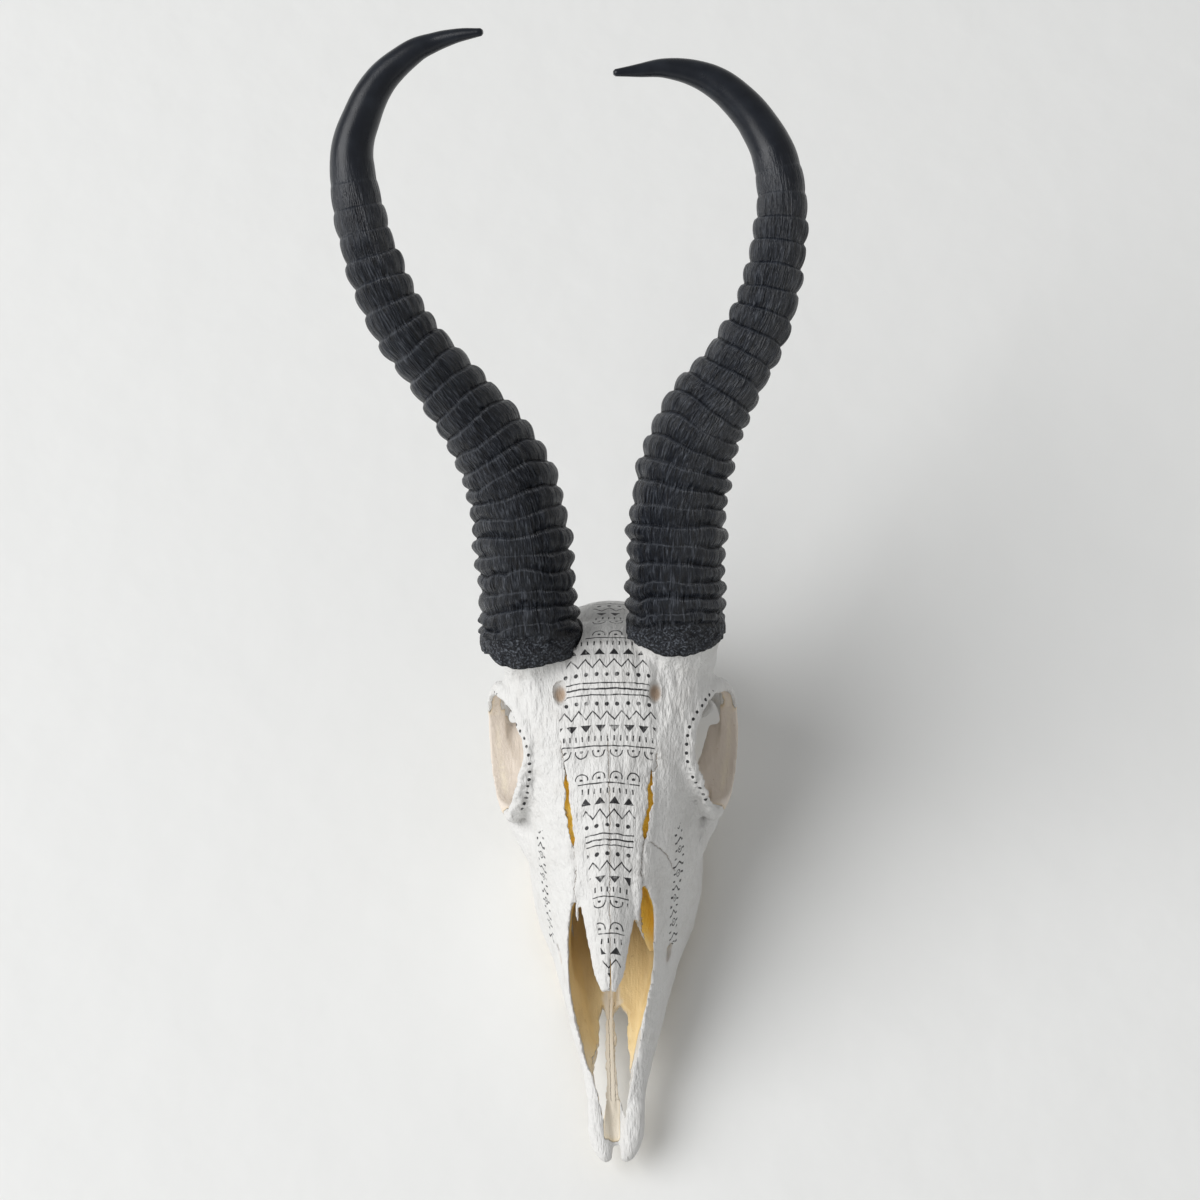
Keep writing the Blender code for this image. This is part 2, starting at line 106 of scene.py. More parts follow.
# The hollow of the nose: y, top z, shoulder x z, side x z, low side x z, middle floor x z, floor z
NOSE_HOLLOW = [
    (66, 54, 8, 50, 14.5, 36, 12.5, 23, 7, 20, 19.5), (74, 58, 9, 54, 15.8, 38, 14, 23, 7, 20, 20),
    (84, 64, 10, 60, 17.8, 43, 16, 22, 7, 20, 20), (100, 74, 12.5, 68, 23, 49, 17, 23, 8, 20, 20),
    (112, 80, 14, 73, 22.5, 54, 15, 24, 8, 21, 21), (122, 85, 12, 76, 13, 56, 11, 32, 6, 24, 22),
    (135, 86, 8, 78, 9, 56, 8, 34, 4, 25, 24), (143, 80, 5, 76, 6, 56, 5, 38, 3, 30, 29),
]

# The nose's opening above: y, the rim's half width on the right and on the left, the rim's z, half
# width at the floor, floor z
NOSE_OPENING = [
    (13, 3.2, 2.8, 15, 2, 13.6), (22, 4.6, 3.6, 17, 2.4, 14.4), (30, 7.8, 5.4, 19, 4, 15.5),
    (40, 11.4, 8.1, 23, 5.5, 16), (50, 14.1, 10.8, 29, 8, 17), (60, 15.6, 13.2, 34, 10, 18.3),
    (70, 15.6, 14.4, 40, 12, 19.5), (78, 14.8, 14.4, 50, 12, 20), (83.5, 13.4, 12, 56.5, 11, 20),
]

# The nasal bones: y, half width, ridge z, edge z
NASALS = [
    (52, 2.5, 50.5, 49), (57, 4.9, 54, 50.5), (68, 7.4, 60.5, 55.5), (78, 9.1, 66.8, 60.5),
    (90, 10.2, 73.6, 67), (100, 11.2, 79.2, 72.5), (110, 12.3, 84.6, 78.5), (118, 13, 88.6, 83),
]

# How far the nasal bones stray from the middle: y, x
NASAL_DRIFT = ((52, 90, 118), (-1.15, -0.95, -0.3))

# The left orbit's rim, all the way round: x, y, z, r
ORBIT_RIM = [
    (34, 117, 58, 3), (31, 120, 71, 3), (27.5, 129, 82, 2.8), (30, 141, 87, 3),
    (36, 153, 82, 3.2), (41, 158, 69, 3.2), (42, 155, 54, 3.4), (41.5, 143, 46, 3.4),
    (39, 129, 46, 3.4), (36, 120, 50, 3.2),
]

# The left upper cheek teeth: name, y of the middle, x of the middle, width across, length
TEETH = [
    ("premolar_2", 71.5, 15, 6, 6.6),
    ("premolar_3", 79, 16.8, 7.2, 7.2),
    ("premolar_4", 87, 19, 8.6, 7.6),
    ("molar_1", 97, 21.2, 10.4, 11),
    ("molar_2", 109.4, 22.6, 11.4, 12.4),
    ("molar_3", 123, 22.6, 11.2, 13.4),
]
TOOTH_ROOT_Z = 17

# The ragged slits beside the nasals: x, y, z of the surface, half width
LEFT_SLIT = [
    (14.9, 119.5, 85, 0.15), (14.6, 116.5, 83.3, 0.6), (14.1, 113.5, 81.7, 1),
    (14.4, 109.5, 79.4, 0.9), (13.1, 105.5, 77.2, 0.8), (12.4, 101.8, 75.1, 1.2),
    (12.2, 99.3, 73.7, 0.7), (12.1, 98, 73, 0.15),
]
RIGHT_SLIT = [
    (-15.4, 121, 85.9, 0.12), (-14.9, 118.5, 84.5, 0.3), (-14.9, 115.5, 82.8, 0.8),
    (-14.6, 112, 80.8, 0.7), (-14.6, 108, 78.6, 1.2), (-14, 104.5, 76.6, 1),
    (-13.2, 100.5, 74.4, 0.95), (-12.8, 98, 73, 0.6), (-12.7, 96.8, 72.3, 0.15),
]

# The long openings in the palate behind the snout's tip: x, y, z, half width
LEFT_PALATE_SLIT = [
    (3.2, 18, 14, 0.12), (2.8, 22.2, 14, 1), (2.5, 27, 14, 2), (2.5, 32, 14, 2.6),
    (2.3, 37, 14, 2.7), (1.9, 42, 14, 2.7), (1.8, 49, 14, 2.3), (1.5, 56, 14, 2.5),
    (1.4, 59.3, 14, 0.5),
]
RIGHT_PALATE_SLIT = [
    (-4.6, 16.6, 14, 0.12), (-4.7, 22.2, 14, 1.1), (-5, 27, 14, 1.8), (-5.5, 32, 14, 2.4),
    (-5.9, 37, 14, 2.5), (-5.5, 42, 14, 1.9), (-5, 49, 14, 1.3), (-5, 55, 14, 1.6),
    (-5, 59.2, 14, 0.4),
]

# The split between the nasal bones at their tip: x, y, z, half width
NASAL_SPLIT = [(-0.7, 49, 50, 0.3), (-0.5, 55, 53, 0.25), (-0.4, 61, 57, 0.12)]

# Ragged cuts: rows, seed, depth under the rows, rise over them, raggedness
FISSURES = [
    (LEFT_SLIT, 60, 3, 5, 0.4),
    (RIGHT_SLIT, 61, 3, 5, 0.4),
    (LEFT_PALATE_SLIT, 70, 8, 8, 0.3),
    (RIGHT_PALATE_SLIT, 71, 8, 8, 0.3),
    (NASAL_SPLIT, 80, 7, 7, 0.2),
]

# Rows of dots along the upper edges of the orbits, and columns of small marks down the cheeks
LEFT_BROW_EDGE = [
    (36.3, 149.7, 85.7), (33.4, 143.7, 88.2), (31, 139.4, 88.9), (28.5, 134.7, 88.2),
    (27.3, 129.5, 85.5), (27.2, 125.3, 82.1), (28.2, 122.6, 79.1), (30.5, 118.6, 73.6),
    (32.8, 116.5, 68.4), (33.8, 115.3, 64.3),
]
RIGHT_BROW_EDGE = [
    (-40.3, 154.6, 78.5), (-37.3, 149.5, 82.5), (-35.4, 145, 84), (-32.9, 138.2, 85.6),
    (-29.7, 132.5, 85.7), (-28.1, 126.7, 83.2), (-28, 122.3, 78.7), (-29, 118.8, 73.6),
    (-29.8, 116.5, 68.1), (-32.2, 115, 61),
]
LEFT_CHEEK = [
    (24.2, 107.3, 65.2), (24, 100.7, 58.7), (23.1, 92.7, 51), (21.4, 83.8, 45), (20.4, 75.3, 33.7),
]
RIGHT_CHEEK = [
    (-25.9, 107.8, 61.8), (-25, 102, 57.5), (-24.8, 94.7, 48.1), (-23.4, 86.6, 40.3),
    (-22.5, 79.2, 30.6),
]

# The ornament's half width at each length along the face
INK_WIDTH = (3, 8, 40, 70, 82, 104, 118, 126, 150), (0, 3, 7.2, 10, 16, 17.5, 12, 5.5, 5.5)

# Seams and cracks of the bone, and the edge where the left maxilla's plate steps down
SEAMS = [
    [(-16.4, 127.1, 89.4), (-15.8, 124.1, 87.7), (-15.4, 120.5, 85.5)],
    [(-12.9, 96, 71.5), (-12.3, 89.5, 67.6), (-12.2, 84.2, 62.6), (-12.2, 81, 59.5)],
    [(16.8, 123, 86.5), (16.4, 120, 84.5), (14.9, 118.8, 84)],
    [(11.8, 97.5, 73), (10.8, 91, 69.8), (10.6, 86, 66.3)],
    [(0, 128, 92.5), (0.3, 110, 84), (0, 90, 73.5), (-0.3, 70, 61.5), (-0.6, 53, 51)],
]
FOLD = [(14.2, 97.9, 71.5), (17.9, 97.1, 66.7), (20.5, 95.8, 61), (21.8, 94.5, 57.1)]
PLATE_EDGE = [
    (15.9, 110.6, 78.7), (14.6, 102, 72.6), (14.5, 95.7, 69.7), (15.3, 87.5, 62.6),
    (16.8, 82.8, 56.1), (19.1, 73, 39.3),
]

# The photograph's camera: how far it leans from straight down towards the snout and to the side,
# its turn about its own axis, its distance, the point it aims at, and its lens
VIEW_LEAN = math.radians(30)
VIEW_ROLL = math.radians(2.5)
VIEW_SPIN = math.radians(-1.07)
VIEW_DISTANCE = 1000
VIEW_AIM_ACROSS = -2.5
VIEW_AIM_UP = 204.9
LENS = 85.23
BACK_0 = Vector((0, -math.sin(VIEW_LEAN), math.cos(VIEW_LEAN)))
WORLD_X = Vector((1, 0, 0))
VIEW_BACK = math.cos(VIEW_ROLL) * BACK_0 + math.sin(VIEW_ROLL) * WORLD_X
VIEW_ACROSS_0 = math.cos(VIEW_ROLL) * WORLD_X - math.sin(VIEW_ROLL) * BACK_0
VIEW_UP_0 = Vector((0, math.cos(VIEW_LEAN), math.sin(VIEW_LEAN)))

# The window's soft light, in metres and watts, the room's own light, and the floor, which lies
# just below the teeth
WINDOW_PLACE = Vector((-2.45, -0.56, 2.38))
WINDOW_AIM = Vector((0, 0.05, 0.1))
WINDOW_SIZE = 3.5
WINDOW_POWER = 120
ROOM_LIGHT = 0.4
FLOOR_HALF = 4
FLOOR_DROP = 0.0002


# Curves

def spline(rows, steps):
    """A smooth curve through the rows, with this many steps from each row to the next."""
    rows = np.asarray(rows, float)
    padded = np.vstack([2 * rows[0] - rows[1], rows, 2 * rows[-1] - rows[-2]])
    curve = []
    for before, start, end, after in zip(padded, padded[1:], padded[2:], padded[3:]):
        for step in range(steps):
            t = step / steps
            curve.append(
                start
                + 0.5 * t * (end - before)
                + t * t * (before - 2.5 * start + 2 * end - 0.5 * after)
                + t**3 * (1.5 * (start - end) + 0.5 * (after - before))
            )
    return np.vstack([curve, rows[-1:]])


def closed_spline(rows, steps):
    """A smooth closed curve through the rows."""
    rows = np.asarray(rows, float)
    around = np.vstack([rows[-2:], rows, rows[:2]])
    curve = spline(around, steps)
    return curve[2 * steps : (2 + len(rows)) * steps]


def noise(points, size, seed=0):
    """Smooth noise over space, from -1 to 1, with lumps of this size: one value for each point."""
    cells = np.random.default_rng(seed).uniform(-1, 1, 4096)
    place = np.asarray(points, float) / size
    low = np.floor(place).astype(np.int64)
    part = place - low
    part = part * part * (3 - 2 * part)
    total = np.zeros(len(place))
    for corner in itertools.product((0, 1), repeat=3):
        cell = (low + corner) * (73856093, 19349663, 83492791)
        index = (cell[:, 0] ^ cell[:, 1] ^ cell[:, 2]) % 4096
        total += np.prod(np.where(corner, part, 1 - part), axis=1) * cells[index]
    return total


def unit(vectors):
    """Each vector at the length 1."""
    return vectors / np.linalg.norm(vectors, axis=-1, keepdims=True)


def ramp(value, low, high):
    """0 below low, 1 above high, and smooth between them."""
    t = np.clip((value - low) / (high - low), 0, 1)
    return t * t * (3 - 2 * t)


def polyline_reach(points, path, outwards=None):
    """For each point, its distance to the path, how far along the nearest place is, and, with the
    surface's normals, how far it lies to the path's one side or, negative, the other."""
    path = np.asarray(path, float)
    best = np.full(len(points), 1e9)
    along = np.zeros(len(points))
    sideways = np.zeros(len(points))
    start_length = 0
    for start, end in zip(path, path[1:]):
        step = end - start
        length = np.linalg.norm(step)
        t = np.clip((points - start) @ step / length**2, 0, 1)
        offset = points - start - t[:, None] * step
        gap = np.linalg.norm(offset, axis=1)
        nearer = gap < best
        best[nearer] = gap[nearer]
        along[nearer] = start_length + t[nearer] * length
        if outwards is not None:
            aside = np.cross(step / length, outwards[nearer])
            aside /= np.linalg.norm(aside, axis=1)[:, None] + 1e-6
            sideways[nearer] = (offset[nearer] * aside).sum(axis=1)
        start_length += length
    return best, along, sideways


# Forms

def add(name, data):
    """A new object of the scene."""
    obj = bpy.data.objects.new(name, data)
    bpy.context.scene.collection.objects.link(obj)
    return obj


def form(name, mesh_builder):
    """A mesh object from the bmesh that the builder fills."""
    bm = bmesh.new()
    mesh_builder(bm)
    bmesh.ops.recalc_face_normals(bm, faces=bm.faces)
    mesh = bpy.data.meshes.new(name)
    bm.to_mesh(mesh)
    bm.free()
    return add(name, mesh)


def skin(name, rings, closed=False):
    """A closed shape over a run of rings with equal numbers of points."""

    def build(bm):
        loops = [[bm.verts.new(point) for point in ring] for ring in rings]
        pairs = list(zip(loops, loops[1:]))
        if closed:
            pairs.append((loops[-1], loops[0]))
        for near, far in pairs:
            for i in range(len(near)):
                j = (i + 1) % len(near)
                bm.faces.new((near[i], near[j], far[j], far[i]))
        if not closed:
            bm.faces.new(loops[0])
            bm.faces.new(loops[-1])

    return form(name, build)


def across(points, closed=False, up=(0, 0, 1)):
    """At each point of a curve, the two directions across it: level, and the other."""
    if closed:
        along = np.roll(points, -1, axis=0) - np.roll(points, 1, axis=0)
    else:
        along = np.gradient(points, axis=0)
    along = unit(along)
    level = unit(np.cross(along, up))
    return level, np.cross(level, along)


def carried(points):
    """The directions across a curve, carried along it without a twist, and the one along it."""
    along = unit(np.gradient(points, axis=0))
    side = np.cross(along[0], (0, 0, 1))
    levels = []
    for direction in along:
        side = unit(side - direction * (side @ direction))
        levels.append(side)
    levels = np.array(levels)
    return levels, np.cross(levels, along), along


def tube(name, rows, steps=6, sides=20, closed=False, up=(0, 0, 1)):
    """A bar along x, y, z with one radius, or with one radius to the side and one upwards."""
    curve = closed_spline(rows, steps) if closed else spline(rows, steps)
    points = curve[:, :3]
    level, other = across(points, closed, up)
    rings = []
    for point, radii, side, rise in zip(points, curve[:, 3:], level, other):
        ring = []
        for i in range(sides):
            turn = math.tau * i / sides
            ring.append(
                point
                + side * radii[0] * math.cos(turn)
                + rise * radii[-1] * math.sin(turn)
            )
        rings.append(ring)
    return skin(name, rings, closed)


def blob(name, centre, radii, tilt=0):
    """An egg shape, tilted about X in degrees."""
    place = (
        Matrix.Translation(centre)
        @ Matrix.Rotation(math.radians(tilt), 4, "X")
        @ Matrix.Diagonal((*radii, 1))
    )
    return form(
        name,
        lambda bm: bmesh.ops.create_uvsphere(
            bm, u_segments=48, v_segments=28, radius=1, matrix=place
        ),
    )


def block(name, centre, size):
    place = Matrix.Translation(centre) @ Matrix.Diagonal((*size, 1))
    return form(name, lambda bm: bmesh.ops.create_cube(bm, size=1, matrix=place))


def hull(name, rows, steps=6):
    """A shape over sections across Y: each row holds y, the top's z, points x z, the bottom's z."""
    rings = []
    for row in spline(rows, steps):
        y, top, bottom = row[0], row[1], row[-1]
        sides = row[2:-1].reshape(-1, 2)
        outline = [(0, top), *sides, (0, bottom), *[(-x, z) for x, z in sides[::-1]]]
        ring = closed_spline(outline, 6)
        rings.append([(x, y, z) for x, z in ring])
    return skin(name, rings)


# Joining and cutting

def mirrored(obj):
    """The same form on the other side."""
    twin = add(obj.name, obj.data.copy())
    twin.data.transform(Matrix.Scale(-1, 4, WORLD_X))
    twin.data.flip_normals()
    return twin


def apply_modifiers(obj):
    """Makes what the object's modifiers show its own mesh."""
    graph = bpy.context.evaluated_depsgraph_get()
    mesh = bpy.data.meshes.new_from_object(obj.evaluated_get(graph))
    obj.modifiers.clear()
    obj.data = mesh


def fused(name, middle, paired, grain, smoothing):
    """One closed body from forms that overlap, and from paired forms and their mirror images."""
    forms = middle + paired + [mirrored(obj) for obj in paired]
    whole = bmesh.new()
    for obj in forms:
        whole.from_mesh(obj.data)
    mesh = bpy.data.meshes.new(name)
    whole.to_mesh(mesh)
    whole.free()
    for obj in forms:
        bpy.data.objects.remove(obj)
    body = add(name, mesh)
    remesh = body.modifiers.new("grain", "REMESH")
    remesh.mode = "VOXEL"
    remesh.voxel_size = grain
    smooth = body.modifiers.new("smooth", "SMOOTH")
    smooth.factor = 0.5
    smooth.iterations = smoothing
    apply_modifiers(body)
    return body


def carve(body, cutter):
    """Cuts one closed shape out of the body, and removes the cutter."""
    cut = body.modifiers.new("cut", "BOOLEAN")
    cut.operation = "DIFFERENCE"
    cut.solver = "MANIFOLD"
    cut.object = cutter
    apply_modifiers(body)
    bpy.data.objects.remove(cutter)


def largest_body(obj):
    """Drops loose crumbs, and keeps the largest connected mesh."""
    bm = bmesh.new()
    bm.from_mesh(obj.data)
    left, groups = set(bm.verts), []
    while left:
        group, edge = set(), {left.pop()}
        while edge:
            group |= edge
            edge = {link.other_vert(vert) for vert in edge for link in vert.link_edges} & left
            left -= edge
        groups.append(group)
    keep = max(groups, key=len)
    bmesh.ops.delete(bm, geom=[v for v in bm.verts if v not in keep], context="VERTS")
    bm.to_mesh(obj.data)
    bm.free()


def each_point(obj, what="co"):
    """For each point of the mesh its x, y, z, or its "normal"."""
    found = np.empty(len(obj.data.vertices) * 3)
    obj.data.vertices.foreach_get(what, found)
    return found.reshape(-1, 3)


def store(obj, name, values):
    """Keeps one number, or one x, y, z, for each point, for the material to read."""
    values = np.asarray(values, np.float32)
    kind, field = ("FLOAT", "value") if values.ndim == 1 else ("FLOAT_VECTOR", "vector")
    obj.data.attributes.new(name, kind, "POINT").data.foreach_set(field, values.ravel())


# The skull

def solid_forms():
    """The skull's masses: those on the middle line, and the left one of each pair."""
    crest = [
        (-25, 182, 48, 2.6), (-18, 190, 57, 2.6), (0, 194, 61, 2.6), (18, 190, 57, 2.6),
        (25, 182, 48, 2.6),
    ]
    right_shelf = [(-24, 132, 42, 5, 2.2), (-31, 146, 43, 6, 2.2), (-35, 158, 48, 4.5, 2.4)]
    right_brow = [
        (-27, 130, 83.5, 2.2), (-31.5, 138, 84, 2.4), (-34.5, 145, 82, 2.4), (-37, 150, 80.5, 2.4),
        (-40, 155, 76, 2.6),
    ]
    base = [(0, 140, 36, 9, 6), (0, 165, 30, 10, 6), (0, 185, 27, 9, 5), (0, 203, 25, 8, 4)]
    middle = [
        hull("face", FACE),
        blob("forehead", (0, 155, 82), (33, 23, 21.5)),
        blob("braincase", (0, 166, 60), (31, 30, 34)),
        blob("occiput", (0, 185, 46), (25, 13, 20)),
        tube("right_orbit_shelf", right_shelf),
        tube("right_orbit_brow", right_brow),
        tube("skull_base", base),
        tube("nuchal_crest", crest),
    ]

    zygoma = [
        (24, 174, 50, 3, 4), (32, 172, 50, 3, 4), (39, 165, 50, 2.6, 4), (42, 155, 49, 2.6, 4),
    ]
    cheekbone = [
        (21, 96, 34, 4, 6), (29, 110, 40, 3.5, 7), (37, 126, 44, 3, 5), (41, 143, 45, 3, 4),
    ]
    orbit_floor = [
        (20, 112, 42, 4, 2.2), (31, 129, 43, 6.5, 2.4), (36, 143, 43, 5.5, 2.2),
        (38.5, 156, 47, 4, 2.2),
    ]
    pedicle = [(21, 158, 80, 15), (23, 163, 90, 15.5), (25, 170, 106, 15.5)]
    paroccipital = [
        (22, 185, 40, 4, 8), (21.5, 190, 26, 3.4, 6.6), (20.5, 194, 10, 2.8, 4.8),
        (20, 195, -3, 2.5, 3.6),
    ]
    pterygoid = [
        (10, 112, 21, 2, 5), (10, 128, 26, 1.6, 8), (10, 143, 31, 1.6, 8), (11, 155, 34, 2, 5),
    ]
    paired = [
        tube("orbit_rim", ORBIT_RIM, closed=True, up=(1, 0, 0)),
        tube("zygoma", zygoma),
        tube("cheekbone", cheekbone),
        tube("orbit_floor", orbit_floor),
        tube("pedicle", pedicle, up=(0, -1, 0)),
        blob("joint", (28, 167, 42), (9, 6, 4)),
        blob("mastoid", (25, 184, 46), (8, 8, 13)),
        blob("bulla", (17, 178, 25), (8, 12, 10)),
        blob("condyle", (10.5, 201, 29), (7, 8, 11), 25),
        tube("paroccipital", paroccipital, up=(0, 1, 0)),
        tube("pterygoid", pterygoid),
    ]
    return middle, paired


def hollow_forms():
    """What is cut out of the masses: the middle line's forms, and the left one of each pair."""
    opening = []
    rows = spline(NOSE_OPENING, 16)
    ragged = [0.35 * noise(rows[:, :1] * (1, 0, 0) + (0, side, 0), 2.2, 31) for side in (1, 40)]
    for row, left_jag, right_jag in zip(rows, *ragged):
        y, right_half, left_half, rim, floor_half, floor = row
        skew = 0.15 * min(max((y - 66) / 19, 0), 1)
        outline = [
            (left_half + left_jag, 80),
            (left_half + left_jag, rim),
            (floor_half, floor),
            (-floor_half, floor),
            (-right_half - right_jag, rim),
            (-right_half - right_jag, 80),
        ]
        opening.append([(x, y + skew * x, z) for x, z in outline])
    middle = [
        hull("nose", NOSE_HOLLOW),
        skin("nose_opening", opening),
        blob("brain", (0, 167, 60), (26, 26, 29)),
        tube("foramen_magnum", [(0, 174, 50, 10), (0, 194, 45, 10), (0, 214, 42, 10)]),
        tube("choana", [(0, 119, 26, 7, 5), (0, 134, 24, 7.5, 9), (0, 152, 19, 7.5, 9)]),
    ]

    temple = [
        (32, 146, 62, 5, 9), (34, 160, 62, 4.5, 10), (38, 176, 65, 6, 12), (46, 190, 68, 8, 14),
    ]
    paired = [
        blob("orbit", (38, 138, 65), (23, 20, 20.5)),
        tube("infraorbital_hole", [(24, 66, 33, 2.2), (14, 82, 36, 2.2)]),
        blob("brow_pit", (16.5, 143, 98), (2.2, 4.8, 4)),
        tube("temple", temple),
    ]
    return middle, paired


def nasal_bones():
    """The two nasal bones as one arched plate."""
    rings = []
    for y, half, ridge, edge in spline(NASALS, 6):
        upper = []
        for share in np.linspace(-1, 1, 25):
            arch = math.cos(share * math.pi / 2) ** 0.8
            x = half * share + np.interp(y, *NASAL_DRIFT)
            upper.append((x, y, edge + (ridge - edge) * arch))
        lower = [(x, y, z - 2) for x, _, z in reversed(upper)]
        rings.append(upper + lower)
    return skin("nasal_bones", rings)


def thin_forms():
    """The thin bones that are added after the hollows are cut."""
    vomer = [
        (-0.8, 16, 13.6, 0.6, 0.8), (-1.2, 31, 15, 0.7, 1.2), (-1.6, 42, 15.6, 0.75, 1.4),
        (-1.8, 52, 16.6, 0.8, 1.6), (-1.4, 62, 18.4, 1.1, 2.4), (0, 90, 20, 1.5, 4),
        (0, 116, 22, 1.5, 5),
    ]
    snout_tip = [
        (2.5, 3.6, 12.3, 1.3, 1.3), (3.9, 6.4, 12.6, 3, 2.6), (5.5, 13, 13.4, 4.2, 3.4),
        (6.9, 24, 15.4, 3.4, 3.4),
    ]
    snout_plate = [
        (0, 9, 12.2, 3, 1.2), (-0.3, 14, 13, 4.5, 1.4), (-0.8, 24, 13.4, 4.2, 1.2),
        (-1.4, 36, 13.2, 3.2, 0.9), (-1.8, 48, 13.4, 2.6, 0.7),
    ]
    turbinate = [
        (14.5, 74, 33, 2.5, 1.3), (13.4, 79, 41.5, 4.5, 1.3), (12.2, 84, 48, 5.5, 1.3),
        (11.2, 90, 54.5, 5.5, 1.3),
    ]
    spike = [(-12.2, 85, 63, 1), (-12, 80, 59.3, 0.75), (-11.9, 75.5, 55.5, 0.45)]
    chip = [(9.6, 87, 67.5, 1.8), (9.4, 82.5, 63.5, 1.6), (9, 78, 60, 1), (9.2, 74.3, 57, 0.6)]
    middle = [
        nasal_bones(),
        tube("snout_plate", snout_plate),
        tube("turbinate", turbinate),
        tube("vomer", vomer),
        tube("spike", spike),
        tube("chip", chip),
    ]
    return middle, [tube("snout_tip", snout_tip)]


def search_tree(forms, sides=(1, -1)):
    """What finds the nearest place on these forms, and on their mirror images."""
    points, faces = [], []
    for obj in forms:
        for side in sides:
            first = len(points)
            points += [Vector((side * v.co.x, v.co.y, v.co.z)) for v in obj.data.vertices]
            faces += [[first + i for i in face.vertices] for face in obj.data.polygons]
    return BVHTree.FromPolygons(points, faces)


def reach(tree, points, most):
    """Each point's distance to a search tree's surface, up to the most that matters, and whether it
    lies under the surface."""
    found = np.full(len(points), float(most))
    under = np.zeros(len(points), bool)
    for i, point in enumerate(points):
        place, normal, _, gap = tree.find_nearest(point, most)
        if place is not None:
            found[i] = gap
            under[i] = (Vector(point) - place).dot(normal) < 0
    return found, under


def depth_under(tree, points):
    """How deep each point lies under the surface, and below 0 how far outside it."""
    gap, under = reach(tree, points, SKIN_REACH)
    return np.where(under, gap, -gap)


def fissure(rows, seed, depth, rise, jag):
    """A ragged cutter for a slit, from this depth under its rows to this rise over them."""
    curve = spline(rows, 14)
    wander = jag * noise(curve[:, :3], 1.6, seed)
    swell = jag * noise(curve[:, :3], 1, seed + 1)
    rings = []
    for (x, y, z, half), aside, extra in zip(curve, wander, swell):
        centre = x + aside * min(half, 1)
        half = max(half + extra * min(half, 1), 0.1)
        top, low = (centre - half, centre + half), (centre + 0.85 * half, centre - 0.85 * half)
        rings.append([(px, y, z + rise) for px in top] + [(px, y, z - depth) for px in low])
    return skin("fissure", rings)


def skull():
    """The fused bone, and the search trees of its first skin, its nose and its orbit."""
    middle, paired = solid_forms()
    bone = fused("skull_masses", middle, paired, GRAIN, 4)
    trees = {"skin": search_tree([bone], (1,))}
    middle, paired = hollow_forms()
    trees["nose"] = search_tree(middle[:2])
    trees["orbit"] = search_tree(paired[:1])
    carve(bone, fused("hollows", middle, paired, GRAIN, 3))
    middle, paired = thin_forms()
    bone = fused("painted_skull", [bone] + middle, paired, FINE_GRAIN, 3)
    largest_body(bone)
    raise_details(bone, trees)
    fewer = bone.modifiers.new("fewer", "DECIMATE")
    fewer.ratio = min(1, SKULL_TRIANGLES / (2 * len(bone.data.polygons)))
    fewer.use_collapse_triangulate = True
    apply_modifiers(bone)
    carve(bone, block("below_table", (0, 100, -15), (120, 260, 30)))
    for rows in (LEFT_HORN, RIGHT_HORN):
        carve(bone, horn_seat(rows))
    for _, y, x, width, length in TEETH:
        for side in (1, -1):
            carve(bone, socket(x, y, width, length, side))
    for cut in FISSURES:
        carve(bone, fissure(*cut))
    return bone, trees


# The horns

def horn_curve(rows, steps):
    """The horn's middle line with its radius at these shares of its length, and its length."""
    fine = spline(rows, 20)
    length = np.r_[0, np.cumsum(np.linalg.norm(np.diff(fine[:, :3], axis=0), axis=1))]
    share = length / length[-1]
    curve = np.array([np.interp(steps, share, column) for column in fine.T]).T
    return curve, length[-1]


def horn_seat(rows):
    """The space above the bone that the horn stands in: a cutter for its pedicle."""
    start, end = horn_curve(rows, [0, 0.01])[0][:, :3]
    axis = unit(end - start)
    foot = start - axis * GAP
    centre = Vector(foot + axis * SEAT_DEPTH / 2)
    turn = Vector((0, 0, 1)).rotation_difference(Vector(axis)).to_matrix().to_4x4()
    place = Matrix.Translation(centre) @ turn
    return form(
        "seat",
        lambda bm: bmesh.ops.create_cone(
            bm,
            cap_ends=True,
            segments=64,
            radius1=SEAT_RADIUS,
            radius2=SEAT_RADIUS,
            depth=SEAT_DEPTH,
            matrix=place,
        ),
    )


